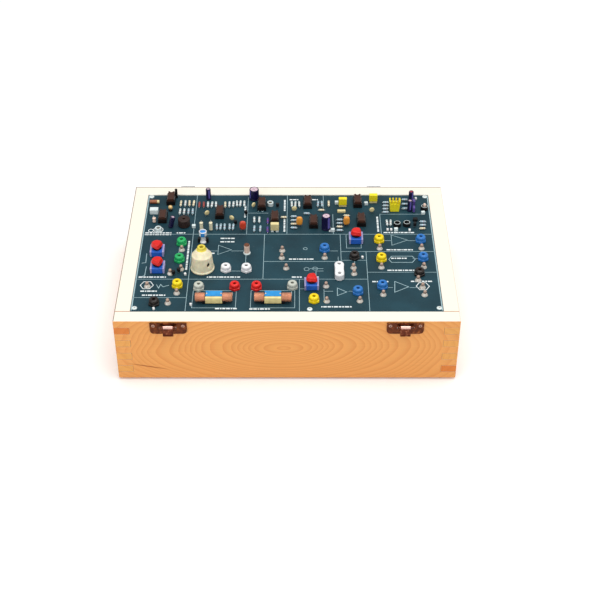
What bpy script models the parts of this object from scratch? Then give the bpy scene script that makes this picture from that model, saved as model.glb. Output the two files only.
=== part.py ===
"""Telecommunications trainer: a finger-jointed pine case with a circuit panel let into its top.

Blender 4.5, metres, +Z up, +X to the right and -Y to the front. Each sub-part is its own
object. The lid is off, as in the photograph: the case keeps its lower latch halves in
front and the lower leaves of its lift-off hinges behind.
"""

import math

import bmesh
import bpy

# Case: outside sizes
CASE_WIDTH = 0.420
CASE_DEPTH = 0.288
CASE_HEIGHT = 0.092
WALL_THICKNESS = 0.019
FINGER_COUNT = 9
CORNER_EASE = 0.0010
BASE_THICKNESS = 0.006
BASE_REBATE = 0.008

# Clearances and the overrun that every cut uses
SEAT_GAP = 0.0003
RUNNING_GAP = 0.0003
OVERRUN = 0.002
SAME_POINT = 0.000001

# Rubber feet
FOOT_RADIUS = 0.008
FOOT_HEIGHT = 0.003
FOOT_TAPER = 0.0010
FOOT_INSET = 0.034

# Panel and the battens that carry it
PANEL_THICKNESS = 0.0016
PANEL_RECESS = 0.0015
LEDGE_WIDTH = 0.009
LEDGE_HEIGHT = 0.014
LEDGE_EASE = 0.0015
SOLDER_DEPTH = 0.0005

# Round pieces: number of sides
FINE_SIDES = 24
ROUND_SIDES = 12
SMALL_SIDES = 8
PIN_SIDES = 6
HEX_SIDES = 6

# 4 mm socket: two-tier plastic cap, stem through the panel and a cap nut below
SOCKET_BORE_RADIUS = 0.0020
SOCKET_BORE_DEPTH = 0.0120
SOCKET_BASE_RADIUS = 0.0070
SOCKET_BASE_HEIGHT = 0.0028
SOCKET_CAP_RADIUS = 0.0059
SOCKET_CAP_HEIGHT = 0.0085
SOCKET_CAP_EASE = 0.0014
SOCKET_STEM_RADIUS = 0.0040
SOCKET_NUT_RADIUS = 0.0055
SOCKET_NUT_HEIGHT = 0.0040

# Double socket: two bores in one moulding
DOUBLE_PITCH = 0.0190
DOUBLE_RADIUS = 0.0060
DOUBLE_HEIGHT = 0.0090

# Test pin: flange, waist and ball
PIN_FLANGE_RADIUS = 0.0040
PIN_FLANGE_HEIGHT = 0.0016
PIN_WAIST_RADIUS = 0.0018
PIN_BALL_RADIUS = 0.0023
PIN_HEIGHT = 0.0080

# Potentiometer: square body, bushing, shaft and pointed knob
POT_SIDE = 0.0182
POT_HEIGHT = 0.0080
POT_EASE = 0.0012
BUSHING_RADIUS = 0.0046
BUSHING_HEIGHT = 0.0030
SHAFT_RADIUS = 0.0030
SHAFT_DEPTH = 0.0070
KNOB_RADIUS = 0.0065
KNOB_NOSE = 0.0092
KNOB_NOSE_TIP = 0.0008
KNOB_HEIGHT = 0.0070
KNOB_TOP_SHRINK = 0.0012
KNOB_LIFT = 0.0008
KNOB_RIM = 0.0015

# Chip in its socket
CHIP_SOCKET_WIDTH = 0.0118
CHIP_SOCKET_LENGTH = 0.0205
CHIP_SOCKET_HEIGHT = 0.0060
CHIP_WIDTH = 0.0088
CHIP_LENGTH = 0.0192
CHIP_HEIGHT = 0.0040
CHIP_NOTCH_RADIUS = 0.0012

# Small block capacitors and trimmers
BLOCK_WIDTH = 0.0110
BLOCK_DEPTH = 0.0055
BLOCK_HEIGHT = 0.0130
DROP_WIDTH = 0.0090
DROP_DEPTH = 0.0038
DROP_HEIGHT = 0.0130
TRIMMER_RADIUS = 0.0042
TRIMMER_HEIGHT = 0.0055
ROLL_RADIUS = 0.0026
ROLL_LENGTH = 0.0130

# Can capacitors: radius and height
LARGE_CAN_RADIUS = 0.0065
LARGE_CAN_HEIGHT = 0.0160
MEDIUM_CAN_RADIUS = 0.0060
MEDIUM_CAN_HEIGHT = 0.0210
SLIM_CAN_RADIUS = 0.0034
SLIM_CAN_HEIGHT = 0.0170
CAN_GROOVE_HEIGHT = 0.0022
CAN_GROOVE_DEPTH = 0.0006
CAN_EASE = 0.0006

# Toothed yellow connector
HEADER_WIDTH = 0.0150
HEADER_DEPTH = 0.0090
HEADER_HEIGHT = 0.0165
HEADER_TEETH = 4
HEADER_TOOTH_HEIGHT = 0.0045
HEADER_WALL = 0.0014

# Dark round sounder
SOUNDER_RADIUS = 0.0080
SOUNDER_HEIGHT = 0.0110
SOUNDER_HOLE_RADIUS = 0.0018
SOUNDER_HOLE_DEPTH = 0.0030

# Ivory light hood
HOOD_FLANGE_RADIUS = 0.0152
HOOD_FLANGE_HEIGHT = 0.0020
HOOD_RADIUS = 0.0142
HOOD_SHOULDER_RADIUS = 0.0128
HOOD_SHOULDER_HEIGHT = 0.0230
HOOD_SHOULDER_EASE = 0.0016
HOOD_CONE_RADIUS = 0.0066
HOOD_CONE_HEIGHT = 0.0300
HOOD_NECK_RADIUS = 0.0053
HOOD_HEIGHT = 0.0345
HOOD_BORE_RADIUS = 0.0025
HOOD_WALL = 0.0020
HOOD_SLOT_RADIUS = 0.0022
HOOD_SLOT_STRETCH = 1.3
HOOD_SLOT_HEIGHT = 0.0125

# White lens holder behind the hood
LENS_FOOT_RADIUS = 0.0048
LENS_STEM_RADIUS = 0.0030
LENS_STEM_HEIGHT = 0.0080
LENS_CUP_RADIUS = 0.0050
LENS_HEIGHT = 0.0170
LENS_RECESS_RADIUS = 0.0036
LENS_RECESS_DEPTH = 0.0012
LENS_FLARE = 0.0030

# Line coil: wound ends, bobbin with its groove, tape strip and feet
COIL_LENGTH = 0.0460
COIL_WINDING_LENGTH = 0.0125
COIL_RADIUS = 0.0056
COIL_WIRE_RADIUS = 0.00075
COIL_END_MARGIN = 0.0004
COIL_TURNS = 5
COIL_TURN_POINTS = 12
COIL_BOBBIN_DEPTH = 0.0100
COIL_BOBBIN_HEIGHT = 0.0080
COIL_GROOVE_WIDTH = 0.0030
COIL_GROOVE_DEPTH = 0.0016
COIL_TAPE_DEPTH = 0.0040
COIL_TAPE_HEIGHT = 0.0100
COIL_FOOT_SIZE = 0.0040
COIL_LIFT = 0.0015

# Latch half: plate, ears, pin and lever
LATCH_WIDTH = 0.0450
LATCH_HEIGHT = 0.0170
LATCH_THICKNESS = 0.0014
LATCH_CORNER = 0.0060
LATCH_TOP_CORNER = 0.0015
LATCH_DROP = 0.0016
LATCH_PIVOT_DROP = 0.0046
LATCH_BARREL_RADIUS = 0.0023
LATCH_LEVER_WIDTH = 0.0150
LATCH_LEVER_THICKNESS = 0.0012
LATCH_LEVER_LENGTH = 0.0145
LATCH_LIP = 0.0022
LATCH_PIN_RADIUS = 0.0009
LATCH_EAR_WIDTH = 0.0022

# Lower leaf of a lift-off hinge
HINGE_WIDTH = 0.0400
HINGE_HEIGHT = 0.0180
HINGE_THICKNESS = 0.0015
HINGE_CORNER = 0.0030
HINGE_BARREL_RADIUS = 0.0027
HINGE_PIN_RADIUS = 0.0013
HINGE_PIN_LENGTH = 0.0170
HINGE_BARREL_LENGTH = 0.0190
HINGE_DROP = 0.0045

# Mains inlet, let through the back wall
INLET_BODY_WIDTH = 0.0278
INLET_BODY_HEIGHT = 0.0200
INLET_BODY_DEPTH = 0.0230
INLET_FLANGE_WIDTH = 0.0490
INLET_FLANGE_HEIGHT = 0.0240
INLET_FLANGE_THICKNESS = 0.0024
INLET_FLANGE_CORNER = 0.0080
INLET_WELL_WIDTH = 0.0240
INLET_WELL_HEIGHT = 0.0165
INLET_WELL_DEPTH = 0.0180
INLET_WELL_CORNER = 0.0035
INLET_BLADE_LENGTH = 0.0120
INLET_BLADE_THICKNESS = 0.0020
INLET_BLADE_HEIGHT = 0.0040
INLET_BLADE_PITCH = 0.0070
INLET_BLADE_RAISE = 0.0020

# Mains rocker switch beside it
SWITCH_FLANGE_WIDTH = 0.0150
SWITCH_FLANGE_HEIGHT = 0.0210
SWITCH_FLANGE_THICKNESS = 0.0020
SWITCH_BODY_WIDTH = 0.0128
SWITCH_BODY_HEIGHT = 0.0190
SWITCH_BODY_DEPTH = 0.0160
SWITCH_WELL_DEPTH = 0.0100
ROCKER_WIDTH = 0.0092
ROCKER_RADIUS = 0.0072
ROCKER_DISH = 0.0012
ROCKER_DEPTH = 0.0040
ROCKER_PROUD = 0.0016
ROCKER_TILT = math.radians(8)
ROCKER_PIVOT_RADIUS = 0.0011
ROCKER_PIVOT_REACH = 0.0006

# Mains transformer and supply board on the base board
CORE_WIDTH = 0.0570
CORE_HEIGHT = 0.0480
CORE_STACK = 0.0220
WINDING_WIDTH = 0.0370
WINDING_HEIGHT = 0.0285
WINDING_DEPTH = 0.0400
CORE_STRAP_WIDTH = 0.0780
CORE_STRAP_THICKNESS = 0.0012
SUPPLY_WIDTH = 0.0900
SUPPLY_DEPTH = 0.0600
SUPPLY_THICKNESS = 0.0016
STANDOFF_RADIUS = 0.0030
STANDOFF_HEIGHT = 0.0080
STANDOFF_INSET = 0.0060
HEATSINK_WIDTH = 0.0240
HEATSINK_DEPTH = 0.0120
HEATSINK_HEIGHT = 0.0250
HEATSINK_FINS = 4
HEATSINK_PLATE = 0.0020
HEATSINK_FIN = 0.0015

# Places on the panel: shares of its width from the left and of its depth from the front
SOCKET_SHARES = {
    "yellow": ((0.141, 0.204), (0.587, 0.087), (0.812, 0.581), (0.815, 0.420)),
    "blue": ((0.954, 0.581), (0.955, 0.426), (0.811, 0.195), (0.730, 0.150), (0.625, 0.502)),
    "red": ((0.329, 0.187), (0.400, 0.187)),
    "grey": ((0.212, 0.183), (0.517, 0.192)),
    "white": ((0.296, 0.334), (0.364, 0.333)),
    "black": ((0.073, 0.062), (0.725, 0.436), (0.937, 0.299)),
    "green": ((0.139, 0.556), (0.138, 0.415)),
}
DOUBLE_SOCKET_SHARE = (0.672, 0.305)
PIN_SHARES = (
    (0.142, 0.143), (0.117, 0.065), (0.627, 0.198), (0.628, 0.080),
    (0.735, 0.082), (0.812, 0.132), (0.946, 0.130), (0.812, 0.512), (0.954, 0.513),
    (0.813, 0.352), (0.954, 0.355), (0.720, 0.349), (0.721, 0.299), (0.625, 0.433),
    (0.481, 0.432), (0.482, 0.494), (0.496, 0.345), (0.363, 0.500), (0.142, 0.500),
    (0.147, 0.337), (0.113, 0.302), (0.930, 0.248), (0.043, 0.198), (0.942, 0.190),
)
POT_SHARES = ((0.061, 0.477), (0.070, 0.338), (0.733, 0.586), (0.580, 0.201))
KNOB_TURN_SHARES = (0.78, 0.80, 0.86, 0.88)
CHIP_SHARES = (
    (0.084, 0.945), (0.063, 0.778), (0.261, 0.816), (0.407, 0.893), (0.454, 0.765),
    (0.569, 0.911), (0.589, 0.730), (0.746, 0.920), (0.755, 0.747),
)
BLOCK_SHARES = ((0.693, 0.900), (0.802, 0.935), (0.455, 0.668))
ROLL_SHARE = (0.026, 0.925)
DROP_SHARES = ((0.540, 0.712), (0.703, 0.715), (0.345, 0.672))
TRIMMER_SHARES = ((0.437, 0.905), (0.053, 0.672))
SLIM_CAN_SHARES = ((0.216, 0.965), (0.099, 0.705), (0.928, 0.855), (0.936, 0.940))
LARGE_CAN_SHARE = (0.379, 0.966)
MEDIUM_CAN_SHARE = (0.632, 0.690)
HEADER_SHARE = (0.875, 0.862)
SOUNDER_SHARE = (0.140, 0.720)
HOOD_SHARE = (0.218, 0.348)
HOOD_SLOT_TURN_SHARE = 0.86
LENS_SHARE = (0.212, 0.574)
COIL_SHARES = ((0.265, 0.080), (0.455, 0.080))

# Places on the walls and on the base board: shares of the case's width, depth and height
LATCH_SHARE = 0.341
HINGE_SHARE = 0.305
INLET_SHARES = (0.245, 0.46)
SWITCH_SHARES = (0.135, 0.46)
TRANSFORMER_SHARES = (0.27, 0.20)
SUPPLY_SHARES = (-0.10, 0.20)
LARGE_CAN_SUPPLY_SHARES = ((-0.30, -0.20), (-0.30, 0.20))
HEATSINK_SHARES = (0.22, 0.10)

# Worked-out sizes
FINGER_PITCH = CASE_HEIGHT / FINGER_COUNT
INNER_WIDTH = CASE_WIDTH - 2 * WALL_THICKNESS
INNER_DEPTH = CASE_DEPTH - 2 * WALL_THICKNESS
PANEL_WIDTH = INNER_WIDTH - 2 * SEAT_GAP
PANEL_DEPTH = INNER_DEPTH - 2 * SEAT_GAP
PANEL_TOP = CASE_HEIGHT - PANEL_RECESS
PANEL_UNDERSIDE = PANEL_TOP - PANEL_THICKNESS
BASE_TOP = BASE_THICKNESS - SEAT_GAP
LATCH_REACH = SEAT_GAP + LATCH_THICKNESS + RUNNING_GAP + 2 * LATCH_BARREL_RADIUS + LATCH_LIP / 2
HINGE_REACH = SEAT_GAP + HINGE_BARREL_RADIUS * (1 + math.cos(math.pi / ROUND_SIDES))
CENTRE_SHIFT = (LATCH_REACH - HINGE_REACH) / 2
HALF_TURN = math.pi
FULL_TURN = 2 * math.pi


def clear_scene():
    for old in list(bpy.data.objects):
        bpy.data.objects.remove(old, do_unlink=True)


def look(name, colour, roughness, metallic):
    """A Principled material of the piece's own."""
    material = bpy.data.materials.new(name)
    material.use_nodes = True
    shader = material.node_tree.nodes["Principled BSDF"]
    shader.inputs["Base Color"].default_value = (*colour, 1.0)
    shader.inputs["Roughness"].default_value = roughness
    shader.inputs["Metallic"].default_value = metallic
    return material


# Colour, roughness and metallic value of each kind of piece
PINE = ((0.80, 0.42, 0.16), 0.55, 0.0)
PLYWOOD = ((0.62, 0.45, 0.27), 0.70, 0.0)
RUBBER = ((0.02, 0.02, 0.02), 0.85, 0.0)
LAMINATE = ((0.018, 0.085, 0.105), 0.45, 0.0)
BRONZE = ((0.10, 0.03, 0.02), 0.35, 0.9)
STEEL = ((0.55, 0.55, 0.56), 0.35, 1.0)
BLACK = ((0.02, 0.02, 0.02), 0.45, 0.0)
POT_BLUE = ((0.05, 0.16, 0.50), 0.40, 0.0)
KNOB_RED = ((0.75, 0.05, 0.03), 0.40, 0.0)
IVORY = ((0.85, 0.80, 0.58), 0.45, 0.0)
WHITE = ((0.85, 0.86, 0.86), 0.40, 0.0)
COPPER = ((0.70, 0.30, 0.13), 0.45, 0.3)
NAVY = ((0.03, 0.02, 0.12), 0.35, 0.0)
HEADER_YELLOW = ((0.90, 0.75, 0.02), 0.45, 0.0)
SOUNDER_BROWN = ((0.05, 0.03, 0.025), 0.50, 0.0)
BOARD_GREEN = ((0.02, 0.20, 0.08), 0.45, 0.0)
SOCKET_LOOKS = {
    "yellow": ((0.90, 0.72, 0.01), 0.35, 0.0),
    "blue": ((0.02, 0.20, 0.65), 0.35, 0.0),
    "red": ((0.80, 0.03, 0.03), 0.35, 0.0),
    "grey": ((0.45, 0.47, 0.42), 0.40, 0.0),
    "white": ((0.88, 0.88, 0.88), 0.35, 0.0),
    "black": ((0.02, 0.018, 0.016), 0.40, 0.0),
    "green": ((0.04, 0.45, 0.15), 0.35, 0.0),
}


# Shapes that are added to a mesh in the making

def add_block(shape, low, high):
    """A box between two corners."""
    corners = [
        shape.verts.new((x, y, z)) for z in (low[2], high[2]) for x, y in (
            (low[0], low[1]), (high[0], low[1]), (high[0], high[1]), (low[0], high[1])
        )
    ]
    shape.faces.new(corners[3::-1])
    shape.faces.new(corners[4:])
    for i in range(4):
        j = (i + 1) % 4
        shape.faces.new((corners[i], corners[j], corners[j + 4], corners[i + 4]))


def placed(plane, along, point):
    """A point of a flat outline, lifted into space at its place along the plane's normal."""
    first, second = point
    if plane == "YZ":
        return (along, first, second)
    if plane == "XZ":
        return (first, along, second)
    return (first, second, along)


def add_prism(shape, plane, outline, low, high, far_outline=None):
    """An outline carried along its plane's normal, with straight or tapered sides."""
    far = far_outline or outline
    near_ring = [shape.verts.new(placed(plane, low, point)) for point in outline]
    far_ring = [shape.verts.new(placed(plane, high, point)) for point in far]
    shape.faces.new(near_ring[::-1])
    shape.faces.new(far_ring)
    count = len(outline)
    for i in range(count):
        j = (i + 1) % count
        shape.faces.new((near_ring[i], near_ring[j], far_ring[j], far_ring[i]))


def add_turned(shape, profile, sides, centre=(0.0, 0.0), axis="Z", base=0.0, shell=False):
    """A profile of radius and height, turned about an axis: from axis to axis, or closed as a shell."""
    rings = []
    for radius, height in profile:
        count = sides if radius > 0 else 1
        ring = []
        for i in range(count):
            angle = FULL_TURN * (i + 0.5) / sides
            first = radius * math.cos(angle)
            second = radius * math.sin(angle)
            if axis == "Z":
                place = (centre[0] + first, centre[1] + second, base + height)
            elif axis == "Y":
                place = (centre[0] + first, base + height, centre[1] + second)
            else:
                place = (base + height, centre[0] + first, centre[1] + second)
            ring.append(shape.verts.new(place))
        rings.append(ring)
    if shell:
        rings.append(rings[0])
    for lower, upper in zip(rings, rings[1:]):
        for i in range(sides):
            j = (i + 1) % sides
            corners = []
            for vertex in (lower[i % len(lower)], lower[j % len(lower)],
                           upper[j % len(upper)], upper[i % len(upper)]):
                if vertex not in corners:
                    corners.append(vertex)
            shape.faces.new(corners)


def rod_profile(radius, low, high):
    """A plain rod's profile."""
    return ((0.0, low), (radius, low), (radius, high), (0.0, high))


def rounded_rectangle(width, height, radii, centre=(0.0, 0.0), steps=4):
    """A rectangle with one corner radius each, from the lower right and anticlockwise."""
    points = []
    ends = ((1, -1), (1, 1), (-1, 1), (-1, -1))
    for turn, ((side, rise), radius) in enumerate(zip(ends, radii)):
        middle_x = centre[0] + side * (width / 2 - radius)
        middle_y = centre[1] + rise * (height / 2 - radius)
        for step in range(steps + 1):
            angle = HALF_TURN / 2 * (turn - 1 + step / steps)
            points.append((middle_x + radius * math.cos(angle), middle_y + radius * math.sin(angle)))
    return distinct(points)


def distinct(points):
    """An outline without the points that repeat where its arcs meet."""
    kept = []
    for point in points:
        if not kept or math.dist(point, kept[-1]) > SAME_POINT:
            kept.append(point)
    if math.dist(kept[0], kept[-1]) <= SAME_POINT:
        kept.pop()
    return kept


# Objects

def make_object(name, shape, rig, finish=None, at=(0.0, 0.0, 0.0)):
    """Closes a mesh in the making, turns its faces outwards and hangs it on the case's rig."""
    bmesh.ops.recalc_face_normals(shape, faces=shape.faces)
    mesh = bpy.data.meshes.new(name)
    shape.to_mesh(mesh)
    shape.free()
    obj = bpy.data.objects.new(name, mesh)
    bpy.context.scene.collection.objects.link(obj)
    obj.parent = rig
    obj.location = at
    if finish:
        mesh.materials.append(look(name, *finish))
        mesh.shade_smooth()
        mesh.set_sharp_from_angle(angle=math.radians(30))
    return obj


def combine(target, operation, shape, rig, at=(0.0, 0.0, 0.0), solver="EXACT"):
    """Adds or cuts a shape, kept beside the piece as a hidden guide."""
    order = len(target.modifiers) + 1
    guide = make_object(f"{target.name}_{operation.lower()}_{order}", shape, rig, at=at)
    guide.hide_render = True
    guide.display_type = "WIRE"
    step = target.modifiers.new(f"{operation.lower()} {order}", "BOOLEAN")
    step.operation = operation
    step.solver = solver
    step.use_self = True  # the shapes of one guide may touch each other
    step.object = guide
    return target


def on_panel(share):
    """The place on the panel of a pair of shares."""
    return ((share[0] - 0.5) * PANEL_WIDTH, (share[1] - 0.5) * PANEL_DEPTH)


# Case

def finger_outline(half_length, own_parity):
    """A wall seen square on: its own fingers run out to the corner, the others stop inside it."""
    short = half_length - WALL_THICKNESS - SEAT_GAP
    right = []
    for i in range(FINGER_COUNT):
        own = i % 2 == own_parity
        reach = half_length if own else short
        inset = SEAT_GAP / 2 if own else -SEAT_GAP / 2
        low = i * FINGER_PITCH + (inset if i > 0 else 0.0)
        high = (i + 1) * FINGER_PITCH - (inset if i < FINGER_COUNT - 1 else 0.0)
        right += [(reach, low), (reach, high)]
    left = [(-reach, height) for reach, height in reversed(right)]
    return right + left


def ease_outer_edges(shape, half_width, half_depth):
    """Rounds the case's upright corners and its outer rim edge."""
    def outside(vertex):
        return (math.isclose(abs(vertex.co.x), half_width, abs_tol=SEAT_GAP / 4),
                math.isclose(abs(vertex.co.y), half_depth, abs_tol=SEAT_GAP / 4),
                math.isclose(vertex.co.z, CASE_HEIGHT, abs_tol=SEAT_GAP / 4))

    chosen = []
    for edge in shape.edges:
        first, second = (outside(vertex) for vertex in edge.verts)
        upright = first[0] and first[1] and second[0] and second[1]
        same_side = (first[0] and second[0]) or (first[1] and second[1])
        rim = first[2] and second[2] and same_side
        if upright or rim:
            chosen.append(edge)
    bmesh.ops.bevel(shape, geom=chosen, offset=CORNER_EASE, offset_type="OFFSET",
                    segments=2, profile=0.5, affect="EDGES")


def base_rebate():
    """The rebate that takes the base board, as one block through all four walls."""
    shape = bmesh.new()
    half_width = INNER_WIDTH / 2 + BASE_REBATE
    half_depth = INNER_DEPTH / 2 + BASE_REBATE
    add_block(shape, (-half_width, -half_depth, -OVERRUN), (half_width, half_depth, BASE_THICKNESS))
    return shape


def build_case(rig):
    half_width = CASE_WIDTH / 2
    half_depth = CASE_DEPTH / 2
    for name, side in (("front_wall", -1), ("back_wall", 1)):
        shape = bmesh.new()
        outer = side * half_depth
        inner = side * (half_depth - WALL_THICKNESS)
        add_prism(shape, "XZ", finger_outline(half_width, 0), min(outer, inner), max(outer, inner))
        ease_outer_edges(shape, half_width, half_depth)
        wall = make_object(name, shape, rig, PINE)
        combine(wall, "DIFFERENCE", base_rebate(), rig)
        if side > 0:
            cut_back_wall(wall, rig)
    for name, side in (("left_wall", -1), ("right_wall", 1)):
        shape = bmesh.new()
        outer = side * half_width
        inner = side * (half_width - WALL_THICKNESS)
        add_prism(shape, "YZ", finger_outline(half_depth, 1), min(outer, inner), max(outer, inner))
        ease_outer_edges(shape, half_width, half_depth)
        wall = make_object(name, shape, rig, PINE)
        combine(wall, "DIFFERENCE", base_rebate(), rig)


def cut_back_wall(wall, rig):
    """Mortises for the mains inlet and the switch."""
    shape = bmesh.new()
    low = INNER_DEPTH / 2 - OVERRUN
    high = CASE_DEPTH / 2 + OVERRUN
    for shares, width, height in (
        (INLET_SHARES, INLET_BODY_WIDTH, INLET_BODY_HEIGHT),
        (SWITCH_SHARES, SWITCH_BODY_WIDTH, SWITCH_BODY_HEIGHT),
    ):
        x = shares[0] * CASE_WIDTH
        z = shares[1] * CASE_HEIGHT
        half_width = width / 2 + SEAT_GAP
        half_height = height / 2 + SEAT_GAP
        add_block(shape, (x - half_width, low, z - half_height), (x + half_width, high, z + half_height))
    combine(wall, "DIFFERENCE", shape, rig)


def build_base(rig):
    half_width = INNER_WIDTH / 2 + BASE_REBATE - SEAT_GAP
    half_depth = INNER_DEPTH / 2 + BASE_REBATE - SEAT_GAP
    shape = bmesh.new()
    add_block(shape, (-half_width, -half_depth, 0.0), (half_width, half_depth, BASE_TOP))
    make_object("base_board", shape, rig, PLYWOOD)
    profile = (
        (0.0, -FOOT_HEIGHT),
        (FOOT_RADIUS - FOOT_TAPER, -FOOT_HEIGHT),
        (FOOT_RADIUS, -SEAT_GAP - FOOT_TAPER),
        (FOOT_RADIUS, -SEAT_GAP),
        (0.0, -SEAT_GAP),
    )
    for row, y_side in (("front", -1), ("back", 1)):
        for side, x_side in (("left", -1), ("right", 1)):
            shape = bmesh.new()
            x = x_side * (CASE_WIDTH / 2 - FOOT_INSET)
            y = y_side * (CASE_DEPTH / 2 - FOOT_INSET)
            add_turned(shape, profile, ROUND_SIDES, (x, y))
            make_object(f"foot_{row}_{side}", shape, rig, RUBBER)


def build_ledges(rig):
    """Battens along the side walls, with their lower inner edge eased."""
    top = PANEL_UNDERSIDE - SEAT_GAP
    low = top - LEDGE_HEIGHT
    for name, side in (("panel_ledge_left", -1), ("panel_ledge_right", 1)):
        against_wall = side * PANEL_WIDTH / 2
        inside = side * (PANEL_WIDTH / 2 - LEDGE_WIDTH)
        eased = side * (PANEL_WIDTH / 2 - LEDGE_WIDTH + LEDGE_EASE)
        outline = [
            (against_wall, low), (eased, low), (inside, low + LEDGE_EASE),
            (inside, top), (against_wall, top),
        ]
        shape = bmesh.new()
        add_prism(shape, "XZ", outline, -PANEL_DEPTH / 2, PANEL_DEPTH / 2)
        make_object(name, shape, rig, PINE)


# Panel and what is soldered to it

def add_chip(shape, x, y, base):
    """A dual-in-line chip pressed into its socket, lying front to back."""
    half_width = CHIP_SOCKET_WIDTH / 2
    half_length = CHIP_SOCKET_LENGTH / 2
    seat = base + SOLDER_DEPTH + CHIP_SOCKET_HEIGHT
    add_block(shape, (x - half_width, y - half_length, base), (x + half_width, y + half_length, seat))


def add_chip_top(shape, x, y, base):
    """The chip's moulded body with its pin-one notch at the back."""
    seat = base + SOLDER_DEPTH + CHIP_SOCKET_HEIGHT
    half_width = CHIP_WIDTH / 2
    half_length = CHIP_LENGTH / 2
    outline = [(x - half_width, y - half_length), (x + half_width, y - half_length),
               (x + half_width, y + half_length)]
    for step in range(5):
        angle = HALF_TURN * step / 4
        outline.append((x + CHIP_NOTCH_RADIUS * math.cos(angle),
                        y + half_length - CHIP_NOTCH_RADIUS * math.sin(angle)))
    outline.append((x - half_width, y + half_length))
    add_prism(shape, "XY", outline, seat - SOLDER_DEPTH, seat + CHIP_HEIGHT)


def add_drop(shape, x, y, base):
    """A dipped capacitor: a rounded slab standing on edge."""
    outline = rounded_rectangle(DROP_WIDTH, DROP_HEIGHT, (0.0, DROP_WIDTH / 2, DROP_WIDTH / 2, 0.0),
                                (x, base + DROP_HEIGHT / 2))
    add_prism(shape, "XZ", outline, y - DROP_DEPTH / 2, y + DROP_DEPTH / 2)


def can_profile(radius, height, base):
    """A can capacitor: crimped groove near its foot and an eased top edge."""
    return (
        (0.0, base), (radius, base), (radius, base + CAN_GROOVE_HEIGHT),
        (radius - CAN_GROOVE_DEPTH, base + CAN_GROOVE_HEIGHT + CAN_GROOVE_DEPTH),
        (radius, base + CAN_GROOVE_HEIGHT + 2 * CAN_GROOVE_DEPTH),
        (radius, base + height - CAN_EASE), (radius - CAN_EASE, base + height), (0.0, base + height),
    )


def build_panel(rig):
    shape = bmesh.new()
    add_block(shape, (-PANEL_WIDTH / 2, -PANEL_DEPTH / 2, PANEL_UNDERSIDE),
              (PANEL_WIDTH / 2, PANEL_DEPTH / 2, PANEL_TOP))
    panel = make_object("panel_board", shape, rig, LAMINATE)

    holes = bmesh.new()
    hole_places = [share for shares in SOCKET_SHARES.values() for share in shares]
    for share in hole_places:
        add_turned(holes, rod_profile(SOCKET_STEM_RADIUS + SEAT_GAP, PANEL_UNDERSIDE - OVERRUN,
                                      PANEL_TOP + OVERRUN), ROUND_SIDES, on_panel(share))
    for place in double_places():
        add_turned(holes, rod_profile(SOCKET_STEM_RADIUS + SEAT_GAP, PANEL_UNDERSIDE - OVERRUN,
                                      PANEL_TOP + OVERRUN), ROUND_SIDES, place)
    combine(panel, "DIFFERENCE", holes, rig)

    soldered = bmesh.new()
    base = PANEL_TOP - SOLDER_DEPTH
    for share in CHIP_SHARES:
        add_chip(soldered, *on_panel(share), base)
    for share in BLOCK_SHARES:
        x, y = on_panel(share)
        add_block(soldered, (x - BLOCK_WIDTH / 2, y - BLOCK_DEPTH / 2, base),
                  (x + BLOCK_WIDTH / 2, y + BLOCK_DEPTH / 2, PANEL_TOP + BLOCK_HEIGHT))
    for share in DROP_SHARES:
        add_drop(soldered, *on_panel(share), base)
    for share in TRIMMER_SHARES:
        add_turned(soldered, rod_profile(TRIMMER_RADIUS, base, PANEL_TOP + TRIMMER_HEIGHT),
                   SMALL_SIDES, on_panel(share))
    x, y = on_panel(ROLL_SHARE)
    add_turned(soldered, rod_profile(ROLL_RADIUS, x - ROLL_LENGTH / 2, x + ROLL_LENGTH / 2),
               SMALL_SIDES, (y, base + ROLL_RADIUS), "X")
    for share in SLIM_CAN_SHARES:
        add_turned(soldered, rod_profile(SLIM_CAN_RADIUS, base, PANEL_TOP + SLIM_CAN_HEIGHT),
                   SMALL_SIDES, on_panel(share))
    pin = (
        (0.0, base), (PIN_FLANGE_RADIUS, base), (PIN_FLANGE_RADIUS, PANEL_TOP + PIN_FLANGE_HEIGHT),
        (PIN_WAIST_RADIUS, PANEL_TOP + PIN_HEIGHT - 2 * PIN_BALL_RADIUS),
        (PIN_BALL_RADIUS, PANEL_TOP + PIN_HEIGHT - PIN_BALL_RADIUS), (0.0, PANEL_TOP + PIN_HEIGHT),
    )
    for share in PIN_SHARES:
        add_turned(soldered, pin, PIN_SIDES, on_panel(share))
    combine(panel, "UNION", soldered, rig)

    chips = bmesh.new()
    for share in CHIP_SHARES:
        add_chip_top(chips, *on_panel(share), base)
    combine(panel, "UNION", chips, rig)


def build_cans(rig):
    """The two tall can capacitors, each on the panel with its leads left out."""
    base = PANEL_TOP + SEAT_GAP
    for name, share, radius, height in (
        ("tall_capacitor", LARGE_CAN_SHARE, LARGE_CAN_RADIUS, LARGE_CAN_HEIGHT),
        ("short_capacitor", MEDIUM_CAN_SHARE, MEDIUM_CAN_RADIUS, MEDIUM_CAN_HEIGHT),
    ):
        shape = bmesh.new()
        add_turned(shape, can_profile(radius, height, base), ROUND_SIDES, on_panel(share))
        make_object(name, shape, rig, NAVY)


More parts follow.
